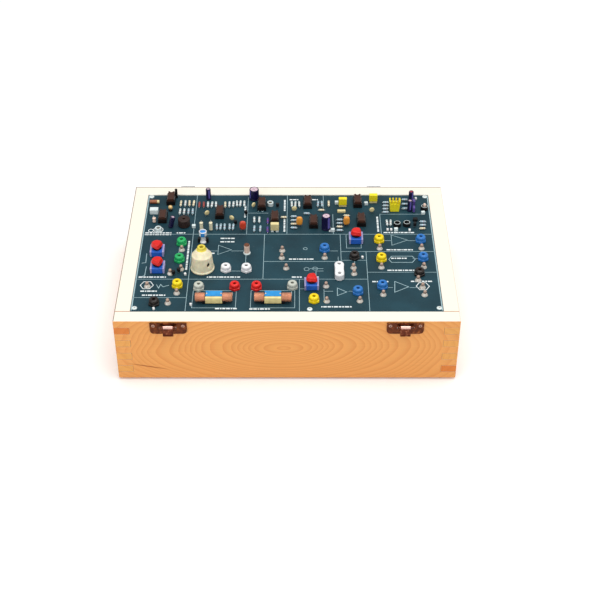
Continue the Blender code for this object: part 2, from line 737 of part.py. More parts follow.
def build_header(rig):
    """The yellow shrouded connector with its toothed rim."""
    x, y = on_panel(HEADER_SHARE)
    base = PANEL_TOP + SEAT_GAP
    top = base + HEADER_HEIGHT
    half_width = HEADER_WIDTH / 2
    half_depth = HEADER_DEPTH / 2
    shape = bmesh.new()
    pitch = HEADER_WIDTH / (2 * HEADER_TEETH - 1)
    outline = [(x - half_width, base), (x + half_width, base)]
    for i in range(2 * HEADER_TEETH - 1):
        height = top if i % 2 == 0 else top - HEADER_TOOTH_HEIGHT
        outline += [(x + half_width - i * pitch, height), (x + half_width - (i + 1) * pitch, height)]
    add_prism(shape, "XZ", outline, y - half_depth, y + half_depth)
    header = make_object("yellow_header", shape, rig, HEADER_YELLOW)
    well = bmesh.new()
    add_block(well, (x - half_width + HEADER_WALL, y - half_depth + HEADER_WALL, base + HEADER_HEIGHT / 2),
              (x + half_width - HEADER_WALL, y + half_depth - HEADER_WALL, top + OVERRUN))
    combine(header, "DIFFERENCE", well, rig)


def build_sounder(rig):
    base = PANEL_TOP + SEAT_GAP
    top = base + SOUNDER_HEIGHT
    profile = (
        (0.0, base), (SOUNDER_RADIUS, base), (SOUNDER_RADIUS, top - CAN_EASE),
        (SOUNDER_RADIUS - CAN_EASE, top), (SOUNDER_HOLE_RADIUS, top),
        (SOUNDER_HOLE_RADIUS, top - SOUNDER_HOLE_DEPTH), (0.0, top - SOUNDER_HOLE_DEPTH),
    )
    shape = bmesh.new()
    add_turned(shape, profile, ROUND_SIDES, on_panel(SOUNDER_SHARE))
    make_object("sounder", shape, rig, SOUNDER_BROWN)


# Sockets

def stem_profile():
    """The socket's lower half, from its cap nut up to the underside of its flange."""
    nut_top = PANEL_UNDERSIDE - SEAT_GAP
    nut_low = nut_top - SOCKET_NUT_HEIGHT
    seat = PANEL_TOP + SEAT_GAP
    return [
        (0.0, nut_low), (SOCKET_NUT_RADIUS, nut_low), (SOCKET_NUT_RADIUS, nut_top),
        (SOCKET_STEM_RADIUS, nut_top), (SOCKET_STEM_RADIUS, seat),
    ]


def build_sockets(rig):
    seat = PANEL_TOP + SEAT_GAP
    top = seat + SOCKET_CAP_HEIGHT
    step = seat + SOCKET_BASE_HEIGHT
    profile = stem_profile() + [
        (SOCKET_CAP_RADIUS, seat),
        (SOCKET_CAP_RADIUS, top - SOCKET_CAP_EASE), (SOCKET_CAP_RADIUS - SOCKET_CAP_EASE, top),
        (SOCKET_BORE_RADIUS, top), (SOCKET_BORE_RADIUS, top - SOCKET_BORE_DEPTH),
        (0.0, top - SOCKET_BORE_DEPTH),
    ]
    tier_inner = SOCKET_BORE_RADIUS + SOCKET_CAP_EASE
    tier_profile = [
        (tier_inner, seat), (SOCKET_BASE_RADIUS, seat), (SOCKET_BASE_RADIUS, step),
        (tier_inner, step + SOCKET_CAP_EASE),
    ]
    for colour, shares in SOCKET_SHARES.items():
        for number, share in enumerate(shares, start=1):
            shape = bmesh.new()
            place = on_panel(share)
            add_turned(shape, profile, ROUND_SIDES, place)
            socket = make_object(f"socket_{colour}_{number}", shape, rig, SOCKET_LOOKS[colour])
            tier = bmesh.new()
            add_turned(tier, tier_profile, HEX_SIDES, place, shell=True)
            combine(socket, "UNION", tier, rig)


def double_places():
    """The two bore centres of the double socket, one behind the other."""
    x, y = on_panel(DOUBLE_SOCKET_SHARE)
    return ((x, y - DOUBLE_PITCH / 2), (x, y + DOUBLE_PITCH / 2))


def build_double_socket(rig):
    """A long white moulding with two bores, a stem below each."""
    centre = on_panel(DOUBLE_SOCKET_SHARE)
    seat = PANEL_TOP + SEAT_GAP
    top = seat + DOUBLE_HEIGHT
    shape = bmesh.new()
    outline = rounded_rectangle(2 * DOUBLE_RADIUS, DOUBLE_PITCH + 2 * DOUBLE_RADIUS,
                                (DOUBLE_RADIUS,) * 4, centre)
    add_prism(shape, "XY", outline, seat, top)
    socket = make_object("socket_double", shape, rig, WHITE)
    stems = bmesh.new()
    bores = bmesh.new()
    for place in double_places():
        stem = stem_profile() + [(SOCKET_STEM_RADIUS, seat + SOLDER_DEPTH), (0.0, seat + SOLDER_DEPTH)]
        stem.remove((SOCKET_STEM_RADIUS, seat))
        add_turned(stems, stem, ROUND_SIDES, place)
        add_turned(bores, rod_profile(SOCKET_BORE_RADIUS, top - SOCKET_BORE_DEPTH, top + OVERRUN),
                   ROUND_SIDES, place)
    combine(socket, "UNION", stems, rig)
    combine(socket, "DIFFERENCE", bores, rig)


# Potentiometers

def knob_outline(radius, nose, turn):
    """A teardrop: a round back whose tangents meet in a blunt nose."""
    spread = math.acos(radius / nose)
    steps = ROUND_SIDES
    points = []
    for step in range(steps + 1):
        angle = spread + (FULL_TURN - 2 * spread) * step / steps
        points.append((radius * math.cos(angle + turn), radius * math.sin(angle + turn)))
    for side in (-1, 1):
        angle = turn + side * KNOB_NOSE_TIP / nose
        points.append((nose * math.cos(angle), nose * math.sin(angle)))
    return points


def build_pots(rig):
    seat = PANEL_TOP + SEAT_GAP
    body_top = seat + POT_HEIGHT
    bushing_top = body_top + BUSHING_HEIGHT
    for number, (share, turn_share) in enumerate(zip(POT_SHARES, KNOB_TURN_SHARES), start=1):
        x, y = on_panel(share)
        shape = bmesh.new()
        half = POT_SIDE / 2
        outline = [
            (x + half, y - half + POT_EASE), (x + half, y + half - POT_EASE),
            (x + half - POT_EASE, y + half), (x - half + POT_EASE, y + half),
            (x - half, y + half - POT_EASE), (x - half, y - half + POT_EASE),
            (x - half + POT_EASE, y - half), (x + half - POT_EASE, y - half),
        ]
        add_prism(shape, "XY", outline, seat, body_top)
        body = make_object(f"pot_body_{number}", shape, rig, POT_BLUE)
        bushing = bmesh.new()
        add_turned(bushing, rod_profile(BUSHING_RADIUS, body_top - SOLDER_DEPTH, bushing_top),
                   ROUND_SIDES, (x, y))
        combine(body, "UNION", bushing, rig)
        bore = bmesh.new()
        bore_end = bushing_top - SHAFT_DEPTH - RUNNING_GAP
        add_turned(bore, rod_profile(SHAFT_RADIUS + RUNNING_GAP, bore_end, bushing_top + OVERRUN),
                   ROUND_SIDES, (x, y))
        combine(body, "DIFFERENCE", bore, rig)

        turn = turn_share * FULL_TURN
        wide = knob_outline(KNOB_RADIUS, KNOB_NOSE, turn)
        narrow = knob_outline(KNOB_RADIUS - KNOB_TOP_SHRINK, KNOB_NOSE - KNOB_TOP_SHRINK, turn)
        knob_shape = bmesh.new()
        add_prism(knob_shape, "XY", wide, 0.0, KNOB_RIM)
        knob = make_object(f"pot_knob_{number}", knob_shape, rig, KNOB_RED,
                           (x, y, bushing_top + KNOB_LIFT))
        crown = bmesh.new()
        add_prism(crown, "XY", wide, KNOB_RIM - SOLDER_DEPTH, KNOB_HEIGHT, narrow)
        combine(knob, "UNION", crown, rig, knob.location)
        shaft = bmesh.new()
        add_turned(shaft, rod_profile(SHAFT_RADIUS, -KNOB_LIFT - SHAFT_DEPTH, SOLDER_DEPTH), ROUND_SIDES)
        combine(knob, "UNION", shaft, rig, knob.location)


# Light hood, lens holder and line coils

def build_hood(rig):
    """A shell, open below on the panel, with a bore through its neck and a slot in its side."""
    base = PANEL_TOP + SEAT_GAP
    outer = [
        (HOOD_FLANGE_RADIUS, 0.0), (HOOD_FLANGE_RADIUS, HOOD_FLANGE_HEIGHT),
        (HOOD_RADIUS, HOOD_FLANGE_HEIGHT + HOOD_FLANGE_RADIUS - HOOD_RADIUS),
        (HOOD_SHOULDER_RADIUS, HOOD_SHOULDER_HEIGHT - HOOD_SHOULDER_EASE),
        (HOOD_SHOULDER_RADIUS - HOOD_SHOULDER_EASE, HOOD_SHOULDER_HEIGHT),
        (HOOD_CONE_RADIUS, HOOD_CONE_HEIGHT), (HOOD_NECK_RADIUS, HOOD_CONE_HEIGHT + HOOD_WALL),
        (HOOD_NECK_RADIUS, HOOD_HEIGHT - CAN_EASE), (HOOD_NECK_RADIUS - CAN_EASE, HOOD_HEIGHT),
        (HOOD_BORE_RADIUS, HOOD_HEIGHT),
    ]
    inner = [
        (HOOD_BORE_RADIUS, HOOD_CONE_HEIGHT),
        (HOOD_CONE_RADIUS - HOOD_WALL, HOOD_CONE_HEIGHT - HOOD_WALL),
        (HOOD_SHOULDER_RADIUS - HOOD_WALL, HOOD_SHOULDER_HEIGHT - HOOD_WALL - HOOD_SHOULDER_EASE),
        (HOOD_RADIUS - HOOD_WALL, 0.0),
    ]
    shape = bmesh.new()
    add_turned(shape, outer + inner, FINE_SIDES, on_panel(HOOD_SHARE), base=base, shell=True)
    hood = make_object("light_hood", shape, rig, IVORY)
    x, y = on_panel(HOOD_SHARE)
    angle = HOOD_SLOT_TURN_SHARE * FULL_TURN
    reach = HOOD_RADIUS + OVERRUN
    slot = bmesh.new()
    add_turned(slot, rod_profile(HOOD_SLOT_RADIUS, HOOD_SHOULDER_RADIUS - 2 * HOOD_WALL, reach),
               SMALL_SIDES, axis="X")
    bmesh.ops.scale(slot, vec=(1.0, 1.0, HOOD_SLOT_STRETCH), verts=slot.verts)
    cutter = combine(hood, "DIFFERENCE", slot, rig, (x, y, base + HOOD_SLOT_HEIGHT))
    cutter.modifiers[-1].object.rotation_euler = (0.0, 0.0, angle)


def build_lens_holder(rig):
    base = PANEL_TOP + SEAT_GAP
    profile = [
        (0.0, 0.0), (LENS_FOOT_RADIUS, 0.0), (LENS_FOOT_RADIUS, LENS_FLARE / 2),
        (LENS_STEM_RADIUS, LENS_FLARE), (LENS_STEM_RADIUS, LENS_STEM_HEIGHT),
        (LENS_CUP_RADIUS, LENS_STEM_HEIGHT + LENS_FLARE),
        (LENS_CUP_RADIUS, LENS_HEIGHT), (LENS_RECESS_RADIUS, LENS_HEIGHT),
        (LENS_RECESS_RADIUS, LENS_HEIGHT - LENS_RECESS_DEPTH), (0.0, LENS_HEIGHT - LENS_RECESS_DEPTH),
    ]
    shape = bmesh.new()
    add_turned(shape, profile, ROUND_SIDES, on_panel(LENS_SHARE), base=base)
    make_object("lens_holder", shape, rig, WHITE)


def winding_path(start, end, y, z):
    """The wire's outer layer about a line along X: a helix of even pitch."""
    first = start + COIL_END_MARGIN + COIL_WIRE_RADIUS
    last = end - COIL_END_MARGIN - COIL_WIRE_RADIUS
    radius = COIL_RADIUS - COIL_WIRE_RADIUS
    steps = COIL_TURNS * COIL_TURN_POINTS
    points = []
    for step in range(steps + 1):
        angle = FULL_TURN * (step + 0.5) / COIL_TURN_POINTS
        points.append((first + (last - first) * step / steps,
                       y + radius * math.cos(angle), z + radius * math.sin(angle)))
    return points


def least_gap(points, radius):
    """The smallest space between stretches of a wire that lie half a turn or more apart."""
    apart = COIL_TURN_POINTS // 2
    nearest = min(math.dist(point, other) for order, point in enumerate(points)
                  for other in points[order + apart:])
    return nearest - 2 * radius


def add_wire(shape, points, y, z):
    """A six-sided wire along a path that goes round a line along X."""
    rings = []
    for point in points:
        out_y = (point[1] - y) / (COIL_RADIUS - COIL_WIRE_RADIUS)
        out_z = (point[2] - z) / (COIL_RADIUS - COIL_WIRE_RADIUS)
        ring = []
        for side in range(PIN_SIDES):
            angle = FULL_TURN * side / PIN_SIDES
            outwards = COIL_WIRE_RADIUS * math.cos(angle)
            ring.append(shape.verts.new((point[0] + COIL_WIRE_RADIUS * math.sin(angle),
                                         point[1] + out_y * outwards, point[2] + out_z * outwards)))
        rings.append(ring)
    for near, far in zip(rings, rings[1:]):
        for i in range(PIN_SIDES):
            j = (i + 1) % PIN_SIDES
            shape.faces.new((near[i], near[j], far[j], far[i]))
    shape.faces.new(rings[0][::-1])
    shape.faces.new(rings[-1])


def build_coils(rig):
    """A bobbin along X, wound at both ends, with a groove on top and a tape strip behind."""
    seat = PANEL_TOP + SEAT_GAP
    axis_height = seat + COIL_LIFT + COIL_RADIUS
    core_radius = COIL_RADIUS - COIL_WIRE_RADIUS
    for name, share in zip(("line_coil_left", "line_coil_right"), COIL_SHARES):
        x, y = on_panel(share)
        half = COIL_LENGTH / 2
        inner = half - COIL_WINDING_LENGTH
        low = seat + COIL_LIFT / 2
        high = seat + COIL_LIFT + COIL_BOBBIN_HEIGHT
        groove = high - COIL_GROOVE_DEPTH
        depth = COIL_BOBBIN_DEPTH / 2
        outline = [
            (y - depth, low), (y + depth, low), (y + depth, high), (y + COIL_GROOVE_WIDTH / 2, high),
            (y + COIL_GROOVE_WIDTH / 2, groove), (y - COIL_GROOVE_WIDTH / 2, groove),
            (y - COIL_GROOVE_WIDTH / 2, high), (y - depth, high),
        ]
        shape = bmesh.new()
        add_prism(shape, "YZ", outline, x - inner - SOLDER_DEPTH, x + inner + SOLDER_DEPTH)
        coil = make_object(name, shape, rig, COPPER)
        cores = bmesh.new()
        wires = bmesh.new()
        for side in (-1, 1):
            start = min(x + side * inner, x + side * half)
            end = start + COIL_WINDING_LENGTH
            add_turned(cores, rod_profile(core_radius, start, end), ROUND_SIDES, (y, axis_height), "X")
            path = winding_path(start, end, y, axis_height)
            add_wire(wires, path, y, axis_height)
        combine(coil, "UNION", cores, rig)
        combine(coil, "UNION", wires, rig, solver="MANIFOLD")
        print(f"{name}: least gap between turns {least_gap(path, COIL_WIRE_RADIUS):.5f} m")
        tape = bmesh.new()
        add_block(tape, (x - inner + SEAT_GAP, y + depth - SOLDER_DEPTH, low),
                  (x + inner - SEAT_GAP, y + depth + COIL_TAPE_DEPTH, seat + COIL_TAPE_HEIGHT))
        combine(coil, "UNION", tape, rig, solver="MANIFOLD")
        feet = bmesh.new()
        for side in (-1, 1):
            foot_x = x + side * (inner + COIL_FOOT_SIZE / 2)
            add_block(feet, (foot_x - COIL_FOOT_SIZE / 2, y - depth, seat),
                      (foot_x + COIL_FOOT_SIZE / 2, y + depth, axis_height))
        combine(coil, "UNION", feet, rig, solver="MANIFOLD")


# Latches and hinge leaves

def build_latches(rig):
    face = -CASE_DEPTH / 2
    top = CASE_HEIGHT - LATCH_DROP
    outer = face - SEAT_GAP - LATCH_THICKNESS
    pivot_y = outer - RUNNING_GAP - LATCH_BARREL_RADIUS
    pivot_z = top - LATCH_PIVOT_DROP
    for side_name, side in (("left", -1), ("right", 1)):
        x = side * LATCH_SHARE * CASE_WIDTH
        shape = bmesh.new()
        corners = (LATCH_CORNER, LATCH_TOP_CORNER, LATCH_TOP_CORNER, LATCH_CORNER)
        outline = rounded_rectangle(LATCH_WIDTH, LATCH_HEIGHT, corners, (x, top - LATCH_HEIGHT / 2))
        add_prism(shape, "XZ", outline, outer, face - SEAT_GAP)
        plate = make_object(f"latch_plate_{side_name}", shape, rig, BRONZE)
        ears = bmesh.new()
        ear_start = LATCH_LEVER_WIDTH / 2 + RUNNING_GAP
        for ear_side in (-1, 1):
            near = x + ear_side * ear_start
            far = near + ear_side * LATCH_EAR_WIDTH
            ear = [(outer + SOLDER_DEPTH, pivot_z - LATCH_BARREL_RADIUS),
                   (outer + SOLDER_DEPTH, pivot_z + LATCH_BARREL_RADIUS)]
            for step in range(SMALL_SIDES + 1):
                angle = HALF_TURN * (0.5 + step / SMALL_SIDES)
                ear.append((pivot_y + LATCH_BARREL_RADIUS * math.cos(angle),
                            pivot_z + LATCH_BARREL_RADIUS * math.sin(angle)))
            add_prism(ears, "YZ", ear, min(near, far), max(near, far))
        combine(plate, "UNION", ears, rig)
        pin = bmesh.new()
        pin_half = ear_start + LATCH_EAR_WIDTH / 2
        add_turned(pin, rod_profile(LATCH_PIN_RADIUS, x - pin_half, x + pin_half), SMALL_SIDES,
                   (pivot_y, pivot_z), "X")
        combine(plate, "UNION", pin, rig)
        build_latch_lever(rig, side_name, (x, pivot_y, pivot_z))


def build_latch_lever(rig, side_name, pivot):
    """A rolled lever that hangs over the plate, its lip turned out below the plate's edge."""
    radius = LATCH_BARREL_RADIUS
    wall = LATCH_LEVER_THICKNESS
    half_width = LATCH_LEVER_WIDTH / 2
    barrel = [(radius * math.cos(FULL_TURN * step / ROUND_SIDES),
               radius * math.sin(FULL_TURN * step / ROUND_SIDES)) for step in range(ROUND_SIDES)]
    shape = bmesh.new()
    add_prism(shape, "YZ", barrel, -half_width, half_width)
    lever = make_object(f"latch_lever_{side_name}", shape, rig, BRONZE, pivot)
    inner = -radius + wall
    leaf = [
        (-radius, 0.0), (inner, 0.0), (inner, -LATCH_LEVER_LENGTH + LATCH_LIP),
        (inner - LATCH_LIP / 2, -LATCH_LEVER_LENGTH), (-radius - LATCH_LIP / 2, -LATCH_LEVER_LENGTH),
        (-radius, -LATCH_LEVER_LENGTH + LATCH_LIP),
    ]
    blade = bmesh.new()
    add_prism(blade, "YZ", leaf, -half_width + wall, half_width - wall)
    combine(lever, "UNION", blade, rig, pivot)
    bore = bmesh.new()
    add_turned(bore, rod_profile(LATCH_PIN_RADIUS + RUNNING_GAP, -half_width - OVERRUN,
                                 half_width + OVERRUN), SMALL_SIDES, axis="X")
    combine(lever, "DIFFERENCE", bore, rig, pivot)


def build_hinge_leaves(rig):
    """Lower leaves of lift-off hinges: the pin stands out sideways for the lid's leaf."""
    face = CASE_DEPTH / 2 + SEAT_GAP
    pivot_y = face + HINGE_BARREL_RADIUS
    pivot_z = CASE_HEIGHT - HINGE_DROP
    for side_name, side in (("left", -1), ("right", 1)):
        x = side * HINGE_SHARE * CASE_WIDTH
        shape = bmesh.new()
        outline = rounded_rectangle(
            HINGE_WIDTH, HINGE_HEIGHT, (HINGE_CORNER, CAN_EASE, CAN_EASE, HINGE_CORNER),
            (x, pivot_z - HINGE_HEIGHT / 2))
        add_prism(shape, "XZ", outline, face, face + HINGE_THICKNESS)
        leaf = make_object(f"hinge_leaf_{side_name}", shape, rig, STEEL)
        barrel = bmesh.new()
        start = x - HINGE_WIDTH / 2
        add_turned(barrel, rod_profile(HINGE_BARREL_RADIUS, start, start + HINGE_BARREL_LENGTH),
                   ROUND_SIDES, (pivot_y, pivot_z), "X")
        combine(leaf, "UNION", barrel, rig)
        pin = bmesh.new()
        pin_start = start + HINGE_BARREL_LENGTH - SOLDER_DEPTH
        add_turned(pin, rod_profile(HINGE_PIN_RADIUS, pin_start, pin_start + HINGE_PIN_LENGTH),
                   SMALL_SIDES, (pivot_y, pivot_z), "X")
        combine(leaf, "UNION", pin, rig)


# Mains inlet and switch

def build_inlet(rig):
    x = INLET_SHARES[0] * CASE_WIDTH
    z = INLET_SHARES[1] * CASE_HEIGHT
    face = CASE_DEPTH / 2 + SEAT_GAP
    mouth = face + INLET_FLANGE_THICKNESS
    shape = bmesh.new()
    flange = rounded_rectangle(INLET_FLANGE_WIDTH, INLET_FLANGE_HEIGHT,
                               (INLET_FLANGE_CORNER,) * 4, (x, z))
    add_prism(shape, "XZ", flange, face, mouth)
    inlet = make_object("power_inlet", shape, rig, BLACK)
    body = bmesh.new()
    add_block(body, (x - INLET_BODY_WIDTH / 2, face - INLET_BODY_DEPTH, z - INLET_BODY_HEIGHT / 2),
              (x + INLET_BODY_WIDTH / 2, face + SOLDER_DEPTH, z + INLET_BODY_HEIGHT / 2))
    combine(inlet, "UNION", body, rig)
    well = bmesh.new()
    corner = INLET_WELL_CORNER
    well_outline = rounded_rectangle(INLET_WELL_WIDTH, INLET_WELL_HEIGHT,
                                     (corner / 4, corner, corner, corner / 4), (x, z), 1)
    well_end = mouth - INLET_WELL_DEPTH
    add_prism(well, "XZ", well_outline, well_end, mouth + OVERRUN)
    combine(inlet, "DIFFERENCE", well, rig)
    blades = bmesh.new()
    for side, rise in ((-1, -1), (0, 1), (1, -1)):
        blade_x = x + side * INLET_BLADE_PITCH
        blade_z = z + rise * INLET_BLADE_RAISE
        add_block(blades, (blade_x - INLET_BLADE_THICKNESS / 2, well_end - SOLDER_DEPTH,
                           blade_z - INLET_BLADE_HEIGHT / 2),
                  (blade_x + INLET_BLADE_THICKNESS / 2, well_end + INLET_BLADE_LENGTH,
                   blade_z + INLET_BLADE_HEIGHT / 2))
    combine(inlet, "UNION", blades, rig)


def build_switch(rig):
    x = SWITCH_SHARES[0] * CASE_WIDTH
    z = SWITCH_SHARES[1] * CASE_HEIGHT
    face = CASE_DEPTH / 2 + SEAT_GAP
    mouth = face + SWITCH_FLANGE_THICKNESS
    pivot = (x, mouth - ROCKER_DEPTH + ROCKER_PROUD, z)
    shape = bmesh.new()
    add_block(shape, (x - SWITCH_FLANGE_WIDTH / 2, face, z - SWITCH_FLANGE_HEIGHT / 2),
              (x + SWITCH_FLANGE_WIDTH / 2, mouth, z + SWITCH_FLANGE_HEIGHT / 2))
    frame = make_object("switch_frame", shape, rig, BLACK)
    body = bmesh.new()
    add_block(body, (x - SWITCH_BODY_WIDTH / 2, face - SWITCH_BODY_DEPTH, z - SWITCH_BODY_HEIGHT / 2),
              (x + SWITCH_BODY_WIDTH / 2, face + SOLDER_DEPTH, z + SWITCH_BODY_HEIGHT / 2))
    combine(frame, "UNION", body, rig)
    well = bmesh.new()
    half_width = ROCKER_WIDTH / 2 + RUNNING_GAP
    half_height = ROCKER_RADIUS + RUNNING_GAP
    add_block(well, (x - half_width, mouth - SWITCH_WELL_DEPTH, z - half_height),
              (x + half_width, mouth + OVERRUN, z + half_height))
    combine(frame, "DIFFERENCE", well, rig)
    sockets = bmesh.new()
    socket_half = half_width + ROCKER_PIVOT_REACH
    add_turned(sockets, rod_profile(ROCKER_PIVOT_RADIUS + RUNNING_GAP, x - socket_half, x + socket_half),
               SMALL_SIDES, (pivot[1], pivot[2]), "X")
    combine(frame, "DIFFERENCE", sockets, rig)

    outline = []
    steps = 6
    spread = math.asin(ROCKER_DEPTH / ROCKER_RADIUS)
    for side in (1, -1):
        for step in range(steps + 1):
            angle = spread * (2 * step / steps - 1)
            outline.append((side * ROCKER_RADIUS * math.sin(angle), side * ROCKER_RADIUS * math.cos(angle)))
        if side > 0:
            outline.append((ROCKER_DEPTH - ROCKER_DISH, 0.0))
    rocker_shape = bmesh.new()
    add_prism(rocker_shape, "YZ", outline, -ROCKER_WIDTH / 2, ROCKER_WIDTH / 2)
    rocker = make_object("switch_rocker", rocker_shape, rig, BLACK, pivot)
    rocker.rotation_euler = (ROCKER_TILT, 0.0, 0.0)
    trunnion = bmesh.new()
    trunnion_half = ROCKER_WIDTH / 2 + ROCKER_PIVOT_REACH
    add_turned(trunnion, rod_profile(ROCKER_PIVOT_RADIUS, -trunnion_half, trunnion_half),
               SMALL_SIDES, axis="X")
    combine(rocker, "UNION", trunnion, rig, pivot)
    rocker.modifiers[-1].object.rotation_euler = rocker.rotation_euler


# What the case holds

def build_transformer(rig):
    x = TRANSFORMER_SHARES[0] * CASE_WIDTH
    y = TRANSFORMER_SHARES[1] * CASE_DEPTH
    floor = BASE_TOP + SEAT_GAP
    core_low = floor + CORE_STRAP_THICKNESS
    shape = bmesh.new()
    add_block(shape, (x - CORE_WIDTH / 2, y - CORE_STACK / 2, core_low - SOLDER_DEPTH),
              (x + CORE_WIDTH / 2, y + CORE_STACK / 2, core_low + CORE_HEIGHT))
    transformer = make_object("mains_transformer", shape, rig, STEEL)
    strap = bmesh.new()
    add_block(strap, (x - CORE_STRAP_WIDTH / 2, y - CORE_STACK / 2 + LEDGE_EASE, floor),
              (x + CORE_STRAP_WIDTH / 2, y + CORE_STACK / 2 - LEDGE_EASE, core_low))
    combine(transformer, "UNION", strap, rig)
    winding = bmesh.new()
    middle = core_low + CORE_HEIGHT / 2
    outline = rounded_rectangle(WINDING_WIDTH, WINDING_DEPTH, (LEDGE_EASE * 2,) * 4, (x, y), 2)
    add_prism(winding, "XY", outline, middle - WINDING_HEIGHT / 2, middle + WINDING_HEIGHT / 2)
    combine(transformer, "UNION", winding, rig)


def build_supply_board(rig):
    x = SUPPLY_SHARES[0] * CASE_WIDTH
    y = SUPPLY_SHARES[1] * CASE_DEPTH
    floor = BASE_TOP + SEAT_GAP
    board_low = floor + STANDOFF_HEIGHT
    board_top = board_low + SUPPLY_THICKNESS
    half_width = SUPPLY_WIDTH / 2
    half_depth = SUPPLY_DEPTH / 2
    shape = bmesh.new()
    add_block(shape, (x - half_width, y - half_depth, board_low), (x + half_width, y + half_depth, board_top))
    board = make_object("supply_board", shape, rig, BOARD_GREEN)
    fitted = bmesh.new()
    for x_side in (-1, 1):
        for y_side in (-1, 1):
            place = (x + x_side * (half_width - STANDOFF_INSET), y + y_side * (half_depth - STANDOFF_INSET))
            add_turned(fitted, rod_profile(STANDOFF_RADIUS, floor, board_low + SOLDER_DEPTH),
                       SMALL_SIDES, place)
    for share in LARGE_CAN_SUPPLY_SHARES:
        place = (x + share[0] * SUPPLY_WIDTH, y + share[1] * SUPPLY_DEPTH)
        add_turned(fitted, can_profile(LARGE_CAN_RADIUS, LARGE_CAN_HEIGHT, board_top - SOLDER_DEPTH),
                   ROUND_SIDES, place)
    add_heatsink(fitted, x + HEATSINK_SHARES[0] * SUPPLY_WIDTH, y + HEATSINK_SHARES[1] * SUPPLY_DEPTH,
                 board_top - SOLDER_DEPTH)
    combine(board, "UNION", fitted, rig)


def add_heatsink(shape, x, y, base):
    """A comb of fins on a plate, drawn upright."""
    half = HEATSINK_WIDTH / 2
    pitch = (HEATSINK_WIDTH - HEATSINK_FIN) / (HEATSINK_FINS - 1)
    outline = [(x - half, y), (x + half, y)]
    for i in reversed(range(HEATSINK_FINS)):
        left = x - half + i * pitch
        right = left + HEATSINK_FIN
        outline += [(right, y + HEATSINK_DEPTH), (left, y + HEATSINK_DEPTH)]
        if i > 0:
            outline += [(left, y + HEATSINK_PLATE), (left - pitch + HEATSINK_FIN, y + HEATSINK_PLATE)]
    add_prism(shape, "XY", outline, base, base + HEATSINK_HEIGHT)


def main():
    clear_scene()
    rig = bpy.data.objects.new("trainer", None)
    bpy.context.scene.collection.objects.link(rig)
    rig.location = (0.0, CENTRE_SHIFT, FOOT_HEIGHT)
    build_case(rig)
    build_base(rig)
    build_ledges(rig)
    build_panel(rig)
    build_cans(rig)
    build_header(rig)
    build_sounder(rig)
    build_sockets(rig)
    build_double_socket(rig)
    build_pots(rig)
    build_hood(rig)
    build_lens_holder(rig)
    build_coils(rig)
    build_latches(rig)
    build_hinge_leaves(rig)
    build_inlet(rig)
    build_switch(rig)
    build_transformer(rig)
    build_supply_board(rig)


main()
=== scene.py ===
# Telecommunications trainer: finishes, fine surfaces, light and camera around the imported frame.
# Metres, +Z up, front towards -Y. New pieces are worked out as numpy arrays.
import functools
import math
import re

import bmesh
import bpy
import mathutils
import numpy as np
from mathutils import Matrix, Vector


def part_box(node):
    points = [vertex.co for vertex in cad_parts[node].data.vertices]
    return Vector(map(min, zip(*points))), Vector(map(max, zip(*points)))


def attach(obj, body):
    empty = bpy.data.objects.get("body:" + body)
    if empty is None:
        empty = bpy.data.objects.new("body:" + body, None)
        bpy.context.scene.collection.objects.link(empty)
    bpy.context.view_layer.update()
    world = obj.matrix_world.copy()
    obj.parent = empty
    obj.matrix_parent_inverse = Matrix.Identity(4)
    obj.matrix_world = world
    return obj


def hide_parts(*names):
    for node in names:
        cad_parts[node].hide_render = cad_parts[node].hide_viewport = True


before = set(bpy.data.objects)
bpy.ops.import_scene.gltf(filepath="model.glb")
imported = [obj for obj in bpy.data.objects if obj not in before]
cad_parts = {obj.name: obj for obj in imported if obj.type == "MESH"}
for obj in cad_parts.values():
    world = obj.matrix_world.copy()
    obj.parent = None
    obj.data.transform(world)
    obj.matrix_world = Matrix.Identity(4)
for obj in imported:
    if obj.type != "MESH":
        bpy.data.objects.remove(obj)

mm = 0.001
fullTurn = 2 * math.pi
view = {"place": (0.0160, -1.3188, 1.0877), "tilt": 50.786, "lens": 76.71, "sensor": 36.0, "frame": 600}
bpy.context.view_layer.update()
print("trainer: frame loaded")


# Shapes. A shape is four arrays: its points, the faces' corners one after another, how many
# corners each face has, and each face's finish number.

def gridShape(points, finish=0, closed=False):
    # points[row, column], each row a closed ring: quads between neighbouring rows, and one
    # flat face over each end unless the rows close too
    rows, columns = points.shape[:2]
    i = np.arange(rows if closed else rows - 1)[:, None]
    j = np.arange(columns)[None, :]
    onRow = (i + 1) % rows
    onColumn = (j + 1) % columns
    quads = np.stack([i * columns + j, i * columns + onColumn,
                      onRow * columns + onColumn, onRow * columns + j], -1)
    corners = quads.ravel()
    counts = np.full(corners.size // 4, 4)
    finishes = np.repeat(np.broadcast_to(finish, len(i)), columns)
    if not closed:
        ring = np.arange(columns)
        corners = np.concatenate([corners, ring[::-1], (rows - 1) * columns + ring])
        counts = np.concatenate([counts, [columns, columns]])
        finishes = np.concatenate([finishes, finishes[:1], finishes[-1:]])
    return points.reshape(-1, 3), corners, counts, finishes


def joined(shapes):
    # the shapes' arrays one after another, with corners counted on past the points before
    shifts = np.cumsum([0] + [len(shape[0]) for shape in shapes[:-1]])
    return (np.concatenate([shape[0] for shape in shapes]),
            np.concatenate([shape[1] + shift for shape, shift in zip(shapes, shifts)]),
            np.concatenate([shape[2] for shape in shapes]),
            np.concatenate([shape[3] for shape in shapes]))


def scaled(shape, factors):
    # every coordinate times its factor
    return (shape[0] * factors, *shape[1:])


